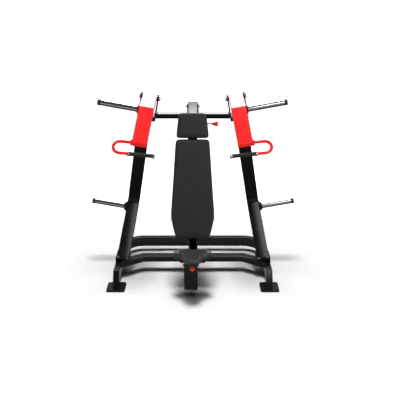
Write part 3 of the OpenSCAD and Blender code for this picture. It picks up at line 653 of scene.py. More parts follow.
# %% Seat column and links
x0, x1, y0, y1, t = -0.076, 0.046, COL_FRONT, COL_FRONT + 0.070, 0.006
channel = soften([(x0, y1), (x0, y0), (x1, y0), (x1, y1), (x1 - t, y1), (x1 - t, y0 + t), (x0 + t, y0 + t),
                  (x0 + t, y1)], [0.001, 0.008, 0.008, 0.001, 0.001, 0.003, 0.003, 0.001], 5)
seat_low = PIVOT_UP + 0.050
column = plate(channel, level, PIVOT_LOW - 0.088, seat_low + 0.002, 0.0012)
carrier = plate(soften([(-0.110, y0 - 0.020), (0.110, y0 - 0.020), (0.110, y0 + 0.120), (-0.110, y0 + 0.120)],
                       0.010, 5), level, seat_low, seat_low + 0.008, 0.0015)
piece("seat_channel", *joined([column, carrier]), black_coat, "seat_carriage", ["seat_column"])
nut_profile = [(0, 0.012), (0.001, 0.0125), (0.010, 0.0125), (0.012, 0.0110)]
guide = turned(level(0, y0, PIVOT_UP), towards, nut_profile, 40)
piece("seat_pin_guide", *guide, zinc, "seat_carriage")
plug = turned(level(x0 + 0.020, y0 + 0.004, PIVOT_UP + 0.004), towards, [(0, 0.0075), (0.0045, 0.0075),
              (0.0055, 0.0070), (0.0058, 0.0050), (0.0048, 0.0045)], 40)
piece("column_plug", *plug, rubber, "seat_carriage")
print("seat column:", round(seat_low - PIVOT_LOW + 0.088, 3), "m tall")

# %% [markdown]
# ## Pads
# A pad is foam on a plywood board under stretched vinyl. It is made as upholsterers see it: a
# slightly small block of foam, blown up a little. The block is remeshed to an even grid and given a
# few frames of cloth with inner pressure, so its face crowns and its edges go round. The side on
# the board is pinned, so it stays flat, and no point may move further than a cap.

# %% Blowing up a foam block
def swell(obj, pinned, cap, pressure=4.0, voxel=0.005):
    """Remeshes obj, swells it with cloth pressure and writes the result into its mesh."""
    scene = bpy.context.scene
    remesh = obj.modifiers.new("even grid", "REMESH")
    remesh.mode = "VOXEL"
    remesh.voxel_size = voxel
    graph = bpy.context.evaluated_depsgraph_get()
    even = bpy.data.meshes.new_from_object(obj.evaluated_get(graph))
    obj.modifiers.clear()
    obj.data = even
    start = [v.co.copy() for v in even.vertices]
    group = obj.vertex_groups.new(name="on board")
    group.add([i for i, co in enumerate(start) if pinned(co)], 1.0, "REPLACE")
    cloth = obj.modifiers.new("cloth", "CLOTH")
    cloth.settings.use_pressure = True
    cloth.settings.uniform_pressure_force = pressure
    cloth.settings.effector_weights.gravity = 0
    cloth.settings.quality = 4
    cloth.settings.vertex_group_mass = "on board"
    cloth.settings.tension_stiffness = 25
    cloth.settings.compression_stiffness = 25
    cloth.point_cache.frame_start = 1
    cloth.point_cache.frame_end = 20
    for f in range(1, 21):
        scene.frame_set(f)
    graph = bpy.context.evaluated_depsgraph_get()
    moved = bpy.data.meshes.new_from_object(obj.evaluated_get(graph))
    obj.modifiers.clear()
    scene.frame_set(1)
    for v, a, b in zip(even.vertices, start, moved.vertices):
        step = b.co - a
        v.co = a + step * min(1.0, cap / max(step.length, 1e-9))
    bpy.data.meshes.remove(moved)
    obj.vertex_groups.clear()
    bm = bmesh.new()
    bm.from_mesh(even)
    for _ in range(3):
        bmesh.ops.smooth_vert(bm, verts=bm.verts, factor=0.5, use_axis_x=True,
                              use_axis_y=True, use_axis_z=True)
    for face in bm.faces:
        face.smooth = True
    bm.to_mesh(even)
    bm.free()
    return obj


def foam(name, outline, place, low, high, mat, body, nodes, edge=0.006):
    return piece(name, *plate(outline, place, low, high, edge), mat, body, nodes)


def whole(half):
    return [(x, z) for x, z in half] + [(-x, z) for x, z in reversed(half)]


pad_face = Vector((0, math.cos(RECLINE), -math.sin(RECLINE)))


def pad_depth(co):
    """How far behind the pads' middle plane a point lies."""
    return (co - on_pads(0, 0, 0)).dot(pad_face)


def on_pad_plan(u, v, w):
    return on_pads(u, w, v)


back_half = [(0.136, 0.879), (0.149, 0.862), (0.192, 0.2376), (0.192, 0.176), (0.154, 0.016), (0.140, 0.001)]
head_half = [(0.108, 1.109), (0.121, 1.092), (0.142, 0.910), (0.136, 0.895)]
back_outline = soften(whole(back_half), [0.022, 0.022, 0.05, 0.05, 0.022, 0.022] * 2, 6)
head_outline = soften(whole(head_half), 0.020, 6)
back_pad = foam("back_cushion", back_outline, on_pad_plan, -0.029, 0.035, vinyl, "frame", ["back_pad"])
head_pad = foam("head_cushion", head_outline, on_pad_plan, -0.029, 0.035, vinyl, "head_rest", ["head_pad"])
for pad in (back_pad, head_pad):
    swell(pad, lambda co: pad_depth(co) > 0.031, 0.0032)
    print(pad.name, len(pad.data.polygons), "faces")
boards = plate(soften([(x - 0.012 if x > 0 else x + 0.012, z) for x, z in whole(back_half)], 0.020, 5),
               on_pad_plan, 0.0352, 0.055, 0.002)
piece("back_plywood", *boards, plywood, "frame", ["back_board"])
boards = plate(soften([(x - 0.012 if x > 0 else x + 0.012, z) for x, z in whole(head_half)], 0.018, 5),
               on_pad_plan, 0.0352, 0.053, 0.002)
piece("head_plywood", *boards, plywood, "head_rest", ["head_board"])

# %% [markdown]
# The seat is wide at the back and narrow at the front, with a scoop on each side for the thighs. A
# moulded ridge runs along each scoop. The ridge and the shallow hollow in the middle are pressed
# into the swollen pad by moving its upper points, as a mould would.

# %% Seat cushion
SEAT_REAR = -0.295
half = [(0.118, 0.0), (0.140, -0.008), (0.177, -0.058), (0.181, -0.084), (0.173, -0.108), (0.147, -0.128),
        (0.106, -0.146), (0.072, -0.190), (0.066, -0.234), (0.050, -0.252)]
half = [(x - 0.004, SEAT_REAR + (y - 0.004 if y > -0.02 else y + 0.004)) for x, y in half]
seat_outline = soften(whole(half), 0.030, 4)
seat_base = seat_low + 0.026
seat = foam("seat_cushion", seat_outline, level, seat_base, seat_base + 0.043, seat_vinyl_painted_lighter, "seat_carriage",
            ["seat_pad"], 0.012)
swell(seat, lambda co: co.z < seat_base + 0.004, 0.008)


def off_line(x, y, a, b):
    px, py, qx, qy = x - a[0], y - a[1], b[0] - a[0], b[1] - a[1]
    f = max(0.0, min(1.0, (px * qx + py * qy) / (qx * qx + qy * qy)))
    return math.hypot(px - f * qx, py - f * qy)


ridge = [(0.050, -0.540), (0.060, -0.478), (0.094, -0.430), (0.160, -0.398)]
for v in seat.data.vertices:
    f = (v.co.z - seat_base - 0.030) / 0.014
    if f <= 0:
        continue
    x, y = abs(v.co.x), v.co.y - SHIFT
    near = min(off_line(x, y, a, b) for a, b in zip(ridge, ridge[1:]))
    lift = 0.0070 * math.exp(-(near / 0.012) ** 2)
    lift -= 0.0065 * math.exp(-(x / 0.055) ** 2) * math.exp(-((y + 0.400) / 0.080) ** 2)
    v.co.z += min(f, 1.0) * lift
seat_wood = plate(drawn_in(seat_outline, 0.010), level, seat_low + 0.0082, seat_low + 0.0258, 0.002)
piece("seat_plywood", *seat_wood, plywood, "seat_carriage", ["seat_board"])
print("seat:", len(seat.data.polygons), "faces")

# %% [markdown]
# A welt runs round each pad where the vinyl folds over the board. It has to lie on the swollen
# surface, whose exact place only the mesh knows, so each of its points is found by casting a ray
# from outside towards the middle of the pad.

# %% Welts that lie on the pads
WELT_RADIUS, WELT_SIDES = 0.0021, 10


def welt(name, pad, outline, place, depth, mat, body, centre):
    tree = BVHTree.FromPolygons([v.co for v in pad.data.vertices],
                                [tuple(p.vertices) for p in pad.data.polygons])
    path = []
    for (ax, ay), (bx, by) in zip(outline, outline[1:] + outline[:1]):
        steps = max(1, int(math.hypot(bx - ax, by - ay) / 0.012))
        for i in range(steps):
            u, v = ax + (bx - ax) * i / steps, ay + (by - ay) * i / steps
            inside, outside = place(*centre(u, v), depth), place(u, v, depth)
            ray = (inside - outside).normalized()
            hit = tree.ray_cast(outside - ray * 0.03, ray)[0]
            path.append((hit if hit else outside) - ray * 0.0006)
    rings = []
    angles = [math.tau * j / WELT_SIDES for j in range(WELT_SIDES)]
    w = place(0, 0, 1) - place(0, 0, 0)
    for i, p in enumerate(path):
        along = (path[(i + 1) % len(path)] - path[i - 1]).normalized()
        u = (w - along * w.dot(along)).normalized()
        v = along.cross(u)
        rings.append([p + (u * math.cos(a) + v * math.sin(a)) * WELT_RADIUS for a in angles])
    points, faces = stitch_rings(rings + [rings[0]], False)
    piece(name, points, faces, mat, body, smooth=60)
    return path


back_path = welt("back_welt", back_pad, back_outline, on_pad_plan, 0.027, vinyl, "frame",
                 lambda u, v: (u * 0.2, 0.44 + (v - 0.44) * 0.7))
head_path = welt("head_welt", head_pad, head_outline, on_pad_plan, 0.027, vinyl, "head_rest",
                 lambda u, v: (u * 0.2, 1.0 + (v - 1.0) * 0.4))
seat_path = welt("seat_welt", seat, seat_outline, level, seat_base + 0.009, seat_vinyl_painted_lighter,
                 "seat_carriage", lambda u, v: (u * 0.25, -0.40 + (v + 0.40) * 0.75))
print("welts:", len(back_path), len(head_path), len(seat_path), "points")

# %% [markdown]
# ## What repeats
# Bolts, weld ripples, stitches and grip rings repeat one small shape many times. Geometry Nodes is
# the tool for that: a tree puts the shape on every point of an input mesh. The tree ends by making
# the copies real, because an exported model cannot hold instances, and the result is then turned
# into a plain mesh.

# %% A starting point for the trees
def new_tree(name, sizes):
    tree = bpy.data.node_groups.new(name, "GeometryNodeTree")
    tree.interface.new_socket("Geometry", in_out="INPUT", socket_type="NodeSocketGeometry")
    for label, value in sizes.items():
        kind = "NodeSocketInt" if isinstance(value, int) else "NodeSocketFloat"
        tree.interface.new_socket(label, in_out="INPUT", socket_type=kind).default_value = value
    tree.interface.new_socket("Finish", in_out="INPUT", socket_type="NodeSocketMaterial")
    tree.interface.new_socket("Geometry", in_out="OUTPUT", socket_type="NodeSocketGeometry")
    return tree, tree.nodes.new("NodeGroupInput"), tree.nodes.new("NodeGroupOutput")


def close_tree(tree, source, shape, entry, leave):
    """Ends a tree: real copies and the finish."""
    real = tree.nodes.new("GeometryNodeRealizeInstances")
    paint = tree.nodes.new("GeometryNodeSetMaterial")
    tree.links.new(source.outputs[shape], real.inputs["Geometry"])
    tree.links.new(real.outputs["Geometry"], paint.inputs["Geometry"])
    tree.links.new(entry.outputs["Finish"], paint.inputs["Material"])
    tree.links.new(paint.outputs["Geometry"], leave.inputs["Geometry"])


def grow(name, mesh, tree, sizes, mat, body, nodes=(), smooth=40.0):
    """Runs a tree on a mesh and keeps the result as a plain mesh on a body."""
    seedling = bpy.data.objects.new(name + "_points", mesh)
    bpy.context.scene.collection.objects.link(seedling)
    modifier = seedling.modifiers.new("tree", "NODES")
    modifier.node_group = tree
    for item in tree.interface.items_tree:
        if item.in_out == "INPUT" and item.name in sizes:
            modifier[item.identifier] = sizes[item.name]
        if item.in_out == "INPUT" and item.name == "Finish":
            modifier[item.identifier] = mat
    graph = bpy.context.evaluated_depsgraph_get()
    grown = bpy.data.meshes.new_from_object(seedling.evaluated_get(graph))
    bpy.data.objects.remove(seedling)
    bm = bmesh.new()
    bm.from_mesh(grown)
    for edge in bm.edges:
        edge.smooth = len(edge.link_faces) == 2 and edge.calc_face_angle(0) < math.radians(smooth)
    for face in bm.faces:
        face.smooth = True
    bm.to_mesh(grown)
    bm.free()
    obj = bpy.data.objects.new(name, grown)
    bpy.context.scene.collection.objects.link(obj)
    return dress(obj, mat, body, nodes)


def spots_mesh(name, spots):
    """spots is a list of (place, direction); the direction is stored as an attribute."""
    mesh = bpy.data.meshes.new(name)
    mesh.from_pydata([tuple(p) for p, _ in spots], [], [])
    facing = mesh.attributes.new("facing", "FLOAT_VECTOR", "POINT")
    for i, (_, d) in enumerate(spots):
        facing.data[i].vector = d
    return mesh


print("tree helpers ready")

# %% [markdown]
# A bolt head here is a washer, a six-sided head and a chamfered top. The tree joins the three once
# and puts the result on every spot, turned to face the spot's direction. The last step is the same
# in every tree here, so it is written once, as a helper.

# %% The bolt tree
bolts, entry, leave = new_tree("Hex bolts", {"Across flats": 0.017, "Head height": 0.007, "Washer": 0.022,
                                             "Washer thickness": 0.002, "Shank": 0.0})


def value_math(tree, op, a, b):
    n = tree.nodes.new("ShaderNodeMath")
    n.operation = op
    for socket, x in zip(n.inputs, (a, b)):
        if isinstance(x, float):
            socket.default_value = x
        else:
            tree.links.new(x, socket)
    return n.outputs[0]


hex_r = value_math(bolts, "MULTIPLY", entry.outputs["Across flats"], 0.57735)
washer_r = value_math(bolts, "MULTIPLY", entry.outputs["Washer"], 0.5)
bodies_of_head = []
for sides, low, height, r0, r1 in (
        (32, None, "Washer thickness", (washer_r, 1.0), (washer_r, 0.94)),
        (6, "Washer thickness", "Head height", (hex_r, 1.0), (hex_r, 1.0)),
        (12, "top", None, (hex_r, 0.985), (hex_r, 0.84)),
        (24, "top", "Shank", (hex_r, 0.5), (hex_r, 0.46))):
    cone = bolts.nodes.new("GeometryNodeMeshCone")
    cone.inputs["Vertices"].default_value = sides
    for label, (r, f) in (("Radius Bottom", r0), ("Radius Top", r1)):
        bolts.links.new(value_math(bolts, "MULTIPLY", r, f), cone.inputs[label])
    if height:
        bolts.links.new(entry.outputs[height], cone.inputs["Depth"])
    else:
        cone.inputs["Depth"].default_value = 0.0012
    move = bolts.nodes.new("GeometryNodeTransform")
    if low:
        at = bolts.nodes.new("ShaderNodeCombineXYZ")
        z = entry.outputs["Washer thickness"]
        if low == "top":
            z = value_math(bolts, "ADD", z, entry.outputs["Head height"])
        bolts.links.new(z, at.inputs["Z"])
        bolts.links.new(at.outputs[0], move.inputs["Translation"])
    bolts.links.new(cone.outputs["Mesh"], move.inputs["Geometry"])
    bodies_of_head.append(move)
whole_bolt = bolts.nodes.new("GeometryNodeJoinGeometry")
for part in bodies_of_head:
    bolts.links.new(part.outputs["Geometry"], whole_bolt.inputs["Geometry"])


def facing_of(tree):
    """Reads the direction that each point of the input carries."""
    direction = tree.nodes.new("GeometryNodeInputNamedAttribute")
    direction.data_type = "FLOAT_VECTOR"
    direction.inputs["Name"].default_value = "facing"
    return direction.outputs["Attribute"]


def put_on(tree, points, shape, heading, axis):
    """Copies a shape to every point, with one of its axes turned along the heading."""
    aim = tree.nodes.new("FunctionNodeAlignRotationToVector")
    aim.axis = axis
    put = tree.nodes.new("GeometryNodeInstanceOnPoints")
    tree.links.new(heading, aim.inputs["Vector"])
    tree.links.new(points, put.inputs["Points"])
    tree.links.new(shape, put.inputs["Instance"])
    tree.links.new(aim.outputs["Rotation"], put.inputs["Rotation"])
    return put


put = put_on(bolts, entry.outputs["Geometry"], whole_bolt.outputs["Geometry"], facing_of(bolts), "Z")
close_tree(bolts, put, "Instances", entry, leave)

flange_spots = [(lean(s, u, 0.011 + v, 0.198), lean_up(s)) for s in (-1, 1) for u in (-0.0405, 0.0405)
                for v in (-0.056, 0.064)]
M10 = {"Across flats": 0.017, "Head height": 0.0065, "Washer": 0.021, "Washer thickness": 0.002,
       "Shank": 0.0}
grow("flange_bolt_heads", spots_mesh("flange_spots", flange_spots), bolts, M10, zinc, "frame",
     ["flange_bolts"])
M24 = {"Across flats": 0.036, "Head height": 0.0105, "Washer": 0.044, "Washer thickness": 0.003,
       "Shank": 0.0}
outer_spots = [(lean(s, 0.084, *PIVOT), lean_out(s)) for s in (-1, 1)]
inner_spots = [(lean(s, -0.084, *PIVOT), -lean_out(s)) for s in (-1, 1)]
axles = [turned(lean(s, -0.086, *PIVOT), lean_out(s), bevelled(0.172, 0.0125, 0.001), 40) for s in (-1, 1)]
piece("axle_bars", *joined(axles), zinc, "frame", ["arm_axles"])
grow("axle_heads", spots_mesh("axle_spots", outer_spots), bolts, M24, zinc, "frame")
grow("axle_nut_set", spots_mesh("nut_spots", inner_spots), bolts, {**M24, "Shank": 0.006}, zinc, "frame",
     ["axle_nuts"])
M12 = {"Across flats": 0.019, "Head height": 0.0078, "Washer": 0.023, "Washer thickness": 0.0015,
       "Shank": 0.0}
bracket_bolt_y = 0.480 - 0.026
bracket_spots = [(level(s * 0.0545, bracket_bolt_y, 1.545), Vector((s, 0, 0))) for s in (-1, 1)]
grow("bracket_bolt_heads", spots_mesh("bracket_spots", bracket_spots), bolts, M12, zinc, "frame",
     ["bracket_bolts"])
rear_spots = [(level(s * 0.042, up_y, z), Vector((s, 0, 0))) for s in (-1, 1) for z in (up_z, low_z)]
shafts = [turned(level(-0.043, up_y, z), axis_x, bevelled(0.086, 0.006, 0.001), 24) for z in (up_z, low_z)]
piece("rear_link_shafts", *joined(shafts), zinc, "frame", ["rear_link_bolts"])
grow("rear_link_heads", spots_mesh("rear_spots", rear_spots), bolts, M12, plastic, "frame")
front_spots = [(level(x0 if s < 0 else x1, PIVOT_Y, z), Vector((s, 0, 0))) for s in (-1, 1)
               for z in (PIVOT_UP, PIVOT_LOW)]
shafts = [turned(level(x0 - 0.001, PIVOT_Y, z), axis_x, bevelled(x1 - x0 + 0.002, 0.006, 0.001), 24)
          for z in (PIVOT_UP, PIVOT_LOW)]
piece("front_link_shafts", *joined(shafts), zinc, "seat_carriage", ["front_link_bolts"])
grow("front_link_heads", spots_mesh("front_spots", front_spots), bolts, M12, zinc, "seat_carriage")
bolted = (flange_spots, outer_spots, inner_spots, bracket_spots, rear_spots, front_spots)
print("bolt heads:", sum(len(spots) for spots in bolted))

# %% [markdown]
# Weld ripples and stitches both follow a line. One tree serves both: it walks along the line at an
# even spacing and lays a small rounded bead at each step, turned along the line.

# %% The bead tree
beads, entry, leave = new_tree("Beads along a line", {"Spacing": 0.0026, "Length": 0.004, "Width": 0.005,
                                                      "Height": 0.003})
line = beads.nodes.new("GeometryNodeMeshToCurve")
walk = beads.nodes.new("GeometryNodeResampleCurve")
if hasattr(walk, "mode"):
    walk.mode = "LENGTH"
bead = beads.nodes.new("GeometryNodeMeshUVSphere")
bead.inputs["Segments"].default_value = 8
bead.inputs["Rings"].default_value = 5
bead.inputs["Radius"].default_value = 0.5
shape = beads.nodes.new("ShaderNodeCombineXYZ")
for label, axis in (("Length", "X"), ("Width", "Y"), ("Height", "Z")):
    beads.links.new(entry.outputs[label], shape.inputs[axis])
size = beads.nodes.new("GeometryNodeTransform")
beads.links.new(bead.outputs["Mesh"], size.inputs["Geometry"])
beads.links.new(shape.outputs[0], size.inputs["Scale"])
along_line = beads.nodes.new("GeometryNodeInputTangent")
beads.links.new(entry.outputs["Geometry"], line.inputs["Mesh"])
beads.links.new(line.outputs["Curve"], walk.inputs["Curve"])
beads.links.new(entry.outputs["Spacing"], walk.inputs["Length"])
put = put_on(beads, walk.outputs["Curve"], size.outputs["Geometry"], along_line.outputs[0], "X")
close_tree(beads, put, "Instances", entry, leave)


def lines_mesh(name, loops, closed=True):
    points, edges = [], []
    for loop in loops:
        base, n = len(points), len(loop)
        points += [tuple(p) for p in loop]
        edges += [(base + i, base + (i + 1) % n) for i in range(n if closed else n - 1)]
    mesh = bpy.data.meshes.new(name)
    mesh.from_pydata(points, edges, [])
    return mesh


def frame_loop(centre, u, v, a, b, corner=0.008):
    """A rounded rectangle, 2a along u and 2b along v."""
    out = []
    for su, sv, a0 in ((1, 1, 0), (-1, 1, 90), (-1, -1, 180), (1, -1, 270)):
        for i in range(5):
            t = math.radians(a0 + 22.5 * i)
            out.append(centre + u * (su * (a - corner) + corner * math.cos(t))
                       + v * (sv * (b - corner) + corner * math.sin(t)))
    return out


def ring_loop(centre, axis, r, n=40):
    u = axis.orthogonal().normalized()
    v = axis.cross(u).normalized()
    angles = [math.tau * i / n for i in range(n)]
    return [centre + (u * math.cos(a) + v * math.sin(a)) * r for a in angles]


RIPPLE = {"Spacing": 0.0030, "Length": 0.0050, "Width": 0.0060, "Height": 0.0055}
black_welds, y_axis = [], Vector((0, 1, 0))
for s in (-1, 1):
    black_welds.append(frame_loop(lean(s, 0, 0.011, 0.1985), lean_out(s), y_axis, 0.0585, 0.0425))
    black_welds.append(ring_loop(lean(s, 0.0580, 0.308, 0.582), lean_out(s), 0.049))
    foot_weld, tube_end = Vector((s * HALF, FOOT_Y - 0.008, 0.0185)), level(s * x_end, y_end, fc_mid)
    black_welds.append(frame_loop(foot_weld, axis_x, y_axis, 0.0290, 0.0480, 0.004))
    black_welds.append(frame_loop(tube_end, y_axis, up, 0.0410, 0.0300))
black_welds.append(frame_loop(post_foot + Vector((0, 0, 0.0005)), axis_x, y_axis, 0.0345, 0.0345))
spine_along = (spine_top - spine_low).normalized()
black_welds.append(frame_loop(on_pads(0, spine_y + 0.0255, 1.060), axis_x, spine_along, 0.0445, 0.0290))
grow("frame_welds", lines_mesh("frame_weld_lines", black_welds), beads, RIPPLE, black_coat, "frame")
FINE_RIPPLE = {"Spacing": 0.0024, "Length": 0.0042, "Width": 0.0048, "Height": 0.0048}
for s, (tag, body, word) in NAMES.items():
    leg_along = (on_handle(s, -0.1, 0) - on_handle(s, 0, 0)).normalized()
    leg_ring = ring_loop(lean(s, 0.0773, *ARM_END), leg_along, 0.0142, 28)
    seams = []
    n = Vector((0, ARM_BEND[0] - ARM_END[0], ARM_BEND[1] - ARM_END[1])).normalized()
    for face in (-1, 1):
        y = ARM_END[0] + n.y * 0.0205 - n.z * face * 0.0205
        z = ARM_END[1] + n.z * 0.0205 + n.y * face * 0.0205
        seams.append([lean(s, 0.064, y, z), lean(s, 0.0, y, z), lean(s, -0.064, y, z)])
    grow("sleeve_welds_" + word, lines_mesh("sleeve_weld_lines_" + word, [leg_ring]), beads,
         FINE_RIPPLE, red_coat, body)
    grow("arm_seams_" + word, lines_mesh("arm_seam_lines_" + word, seams, False), beads,
         FINE_RIPPLE, red_coat, body)
print("welds laid:", len(black_welds) + 6)

# %% [markdown]
# Vinyl covers are sewn a few millimetres beside the welt. A stitch is a bead of thread, longer than
# it is wide, with a gap before the next one. The bead tree lays it as well, with other sizes.

# %% Stitches beside the welts
STITCH = {"Spacing": 0.0060, "Length": 0.0042, "Width": 0.0009, "Height": 0.0009}
FROM_WELT, OUT_OF_PAD = 0.0065, 0.0011


def beside(path, step, pad_centre):
    return [p + step + (p - pad_centre).normalized() * OUT_OF_PAD for p in path]


stitch_runs = {
    "back": (back_path, -pad_face, on_pads(0, 0, 0.44), "frame"),
    "head": (head_path, -pad_face, on_pads(0, 0, 1.0), "head_rest"),
    "seat": (seat_path, up, level(0, -0.40, seat_base), "seat_carriage"),
}
for word, (path, to_face, middle, body) in stitch_runs.items():
    run = beside(path, to_face * FROM_WELT, middle)
    grow(word + "_stitches", lines_mesh(word + "_stitch_line", [run]), beads, STITCH, thread, body)
print("stitches run beside the welts")

# %% [markdown]
# The rubber grips carry fine rings, which give the hand hold. The tree repeats one thin ring along
# a short line of points.

# %% The grip-ring tree
GRIP_RING = {"Ring radius": 0.0172, "Rib": 0.0006}
rings_tree, entry, leave = new_tree("Grip rings", GRIP_RING)
loop = rings_tree.nodes.new("GeometryNodeCurvePrimitiveCircle")
loop.inputs["Resolution"].default_value = 40
rings_tree.links.new(entry.outputs["Ring radius"], loop.inputs["Radius"])
section = rings_tree.nodes.new("GeometryNodeCurvePrimitiveCircle")
section.inputs["Resolution"].default_value = 6
rings_tree.links.new(entry.outputs["Rib"], section.inputs["Radius"])
solid = rings_tree.nodes.new("GeometryNodeCurveToMesh")
rings_tree.links.new(loop.outputs["Curve"], solid.inputs["Curve"])
rings_tree.links.new(section.outputs["Curve"], solid.inputs["Profile Curve"])
put = put_on(rings_tree, entry.outputs["Geometry"], solid.outputs["Mesh"], facing_of(rings_tree), "Z")
close_tree(rings_tree, put, "Instances", entry, leave)
RING_STEPS = 40
for s, (tag, body, word) in NAMES.items():
    start, stop = on_handle(s, 0.018, 0.115), on_handle(s, 0.186, 0.115)
    spots = [(start.lerp(stop, i / RING_STEPS), (stop - start).normalized()) for i in range(RING_STEPS + 1)]
    grow("grip_rings_" + word, spots_mesh("grip_spots_" + word, spots), rings_tree, GRIP_RING, rubber, body)
print("grip rings:", 2 * (RING_STEPS + 1))

# %% [markdown]
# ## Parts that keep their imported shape
# The links, the spacers, the saddles, the feet and the stops already have the right shape. They
# only need a finish, which goes on their own material slots.

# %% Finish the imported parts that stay
stays = {
    "foot_plates": black_coat, "foot_rubbers": rubber, "rear_legs": black_coat, "saddles": black_coat,
    "clevis_spacers": black_coat, "arm_stops": rubber, "upper_link": black_coat, "lower_link": black_coat,
    "head_stem": chrome,
}
for node, mat in stays.items():
    cad_nodes[node].data.materials.clear()
    cad_nodes[node].data.materials.append(mat)
left_plain = [n for n, o in cad_nodes.items() if not o.hide_render and n not in stays]
for node in left_plain:
    cad_nodes[node].data.materials.clear()
    cad_nodes[node].data.materials.append(black_coat)
print("kept nodes:", sorted(stays), "others:", left_plain)

# %% [markdown]
# ## Floor, light and camera
# The machine stands on a pale floor that glows further out, so that it runs on into a bright sweep
# from every side. Two softboxes, one high behind and one high in front, are only there to draw the
# white gleams on the glossy pieces. Two more straight above, a small one for soft contact shadows
# and a wide one to lift them, light the matt surfaces evenly. The sky that the gloss mirrors is
# bright behind and low down, and dim elsewhere, so that the black tubes read as black.

# %% Helpers for the light
def map_range(tree, source, low, high, dim, bright, smooth=False):
    """Turns a value between low and high into one between dim and bright."""
    node = tree.nodes.new("ShaderNodeMapRange")
    if smooth:
        node.interpolation_type = "SMOOTHSTEP"
    for label, value in (("From Min", low), ("From Max", high), ("To Min", dim), ("To Max", bright)):
        node.inputs[label].default_value = value
    tree.links.new(source, node.inputs["Value"])
    return node.outputs[0]


def maths(tree, operation, *terms):
    """A Math node; each term is a number or the output of another node."""
    node = tree.nodes.new("ShaderNodeMath")
    node.operation = operation
    for term, entry_of_node in zip(terms, node.inputs):
        if isinstance(term, float):
            entry_of_node.default_value = term
        else:
            tree.links.new(term, entry_of_node)
    return node.outputs[0]


print("helpers ready: map_range, maths")

# %% [markdown]
# A studio floor is a sheet of paper that curves up behind the object. From behind or from the side
# such a curve would show, so this floor is one large flat plane. It is pale and matt where the
# machine stands, where it has to take the shadows, and starts to glow further out, which hides the
# line where it ends.

# %% Floor
FLOOR_SIZE, FLOOR_SHADE, GLOW_FROM, GLOW_FULL = 400, 0.80, 1.2, 2.5
bpy.ops.mesh.primitive_plane_add(size=FLOOR_SIZE, location=(0, 0, 0))
floor = bpy.context.object
floor.name = "studio_floor"
floor_paint = bpy.data.materials.new("studio_floor_paint")
floor_paint.use_nodes = True
floor_shader = floor_paint.node_tree.nodes["Principled BSDF"]
floor_shader.inputs["Base Color"].default_value = (FLOOR_SHADE, FLOOR_SHADE, FLOOR_SHADE, 1)
floor_shader.inputs["Roughness"].default_value = 0.55
floor_shader.inputs["Specular IOR Level"].default_value = 0.0
floor_shader.inputs["Emission Color"].default_value = (1, 1, 1, 1)
floor_place = floor_paint.node_tree.nodes.new("ShaderNodeTexCoord")
floor_reach = floor_paint.node_tree.nodes.new("ShaderNodeVectorMath")
floor_reach.operation = "LENGTH"
floor_paint.node_tree.links.new(floor_place.outputs["Object"], floor_reach.inputs[0])
far_glow = map_range(floor_paint.node_tree, floor_reach.outputs["Value"], GLOW_FROM, GLOW_FULL, 0.0, 1.0,
                     smooth=True)
floor_paint.node_tree.links.new(far_glow, floor_shader.inputs["Emission Strength"])
floor.data.materials.append(floor_paint)
floor.visible_glossy = False
print("floor glows from", GLOW_FROM, "to", GLOW_FULL, "m out")

# %% [markdown]
# An area lamp stands for a softbox: its size sets how soft a shadow is and how broad a gleam. Each
# lamp here is kept out of one kind of ray, so the gleams and the even light can be set apart. The
# sky's brightness is worked out from the direction of a ray by a few nodes. The camera itself sees
# plain white, and matt surfaces take only a tenth of what the glossy ones mirror.

# %% Light
FRONT_SHADE, BACK_SHADE, MATT_SHARE = 0.06, 0.35, 0.10
world = bpy.data.worlds.new("studio")
bpy.context.scene.world = world
world.use_nodes = True
tree = world.node_tree
sky = tree.nodes["Background"]
sky.inputs["Color"].default_value = (1, 1, 1, 1)
view = tree.nodes.new("ShaderNodeTexCoord")
axes = tree.nodes.new("ShaderNodeSeparateXYZ")
ray = tree.nodes.new("ShaderNodeLightPath")
tree.links.new(view.outputs["Generated"], axes.inputs[0])
behind = map_range(tree, axes.outputs["Y"], -0.15, 0.85, FRONT_SHADE, BACK_SHADE, smooth=True)
above = map_range(tree, axes.outputs["Z"], -0.15, 0.10, 0.0, 1.0)
low_walls = tree.nodes.new("ShaderNodeValToRGB")
stops = [(0.0, 0.03), (0.14, 0.04), (0.34, 0.50), (0.47, 0.42), (0.56, 0.0)]
for _ in stops[2:]:
    low_walls.color_ramp.elements.new(0.5)
for element, (at, shade) in zip(low_walls.color_ramp.elements, stops):
    element.position, element.color = at, (shade, shade, shade, 1)
tree.links.new(maths(tree, "MULTIPLY_ADD", axes.outputs["Z"], 0.5, 0.5), low_walls.inputs["Fac"])
strength = maths(tree, "MULTIPLY_ADD", behind, above, low_walls.outputs["Color"])
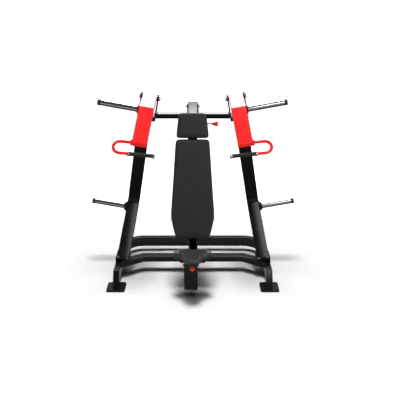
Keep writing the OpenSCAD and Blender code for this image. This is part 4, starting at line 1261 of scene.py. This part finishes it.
matt = map_range(tree, ray.outputs["Is Diffuse Ray"], 0.0, 1.0, 1.0, MATT_SHARE)
dimmed = maths(tree, "MULTIPLY", strength, matt)
seen = maths(tree, "MAXIMUM", dimmed, ray.outputs["Is Camera Ray"])
tree.links.new(seen, sky.inputs["Strength"])


def softbox(name, place, aim_at, wide, high, watts):
    light = bpy.data.lights.new(name, "AREA")
    light.shape = "RECTANGLE"
    light.size, light.size_y, light.energy = wide, high, watts
    obj = bpy.data.objects.new(name, light)
    obj.location = place
    obj.rotation_euler = (Vector(aim_at) - Vector(place)).to_track_quat("-Z", "Y").to_euler()
    bpy.context.scene.collection.objects.link(obj)
    return obj


softbox("top_back_softbox", (0, 3.4, 4.4), (0, 0, 0.9), 5.0, 1.5, 260).visible_diffuse = False
softbox("overhead_softbox", (0, 0.1, 9.0), (0, 0, 0.8), 1.9, 1.9, 800).visible_glossy = False
softbox("canopy_softbox", (0, 0.1, 9.0), (0, 0, 0.8), 7.0, 6.0, 280).visible_glossy = False
softbox("front_softbox", (1.6, -3.1, 4.3), (0, 0, 0.8), 2.8, 1.7, 66).visible_diffuse = False
bpy.context.scene.view_settings.view_transform = "Standard"
print("lights: 4 softboxes and a graded sky")

# %% [markdown]
# What a lens takes in depends on its focal length over the width of its sensor, so the script names
# those two. The camera stands well in front, above head height, and looks down on the machine. The
# small shift slides the picture sideways without turning the camera.

# %% Camera
lens = bpy.data.cameras.new("camera")
camera = bpy.data.objects.new("camera", lens)
bpy.context.scene.collection.objects.link(camera)
FILM_WIDTH, FOCAL_IN_WIDTHS = 36.0, 1.3
IN_FRONT, EYE_HEIGHT, LOOKS_DOWN = 4.170, 2.565, 22
lens.sensor_width = FILM_WIDTH
lens.lens = FILM_WIDTH * FOCAL_IN_WIDTHS
lens.shift_x = 0.0045
camera.location = (0.050, FOOT_Y - IN_FRONT, EYE_HEIGHT)
camera.rotation_euler = (math.radians(90 - LOOKS_DOWN), 0, 0)
bpy.context.scene.camera = camera
print("camera", [round(v, 3) for v in camera.location], "lens", round(lens.lens, 1))
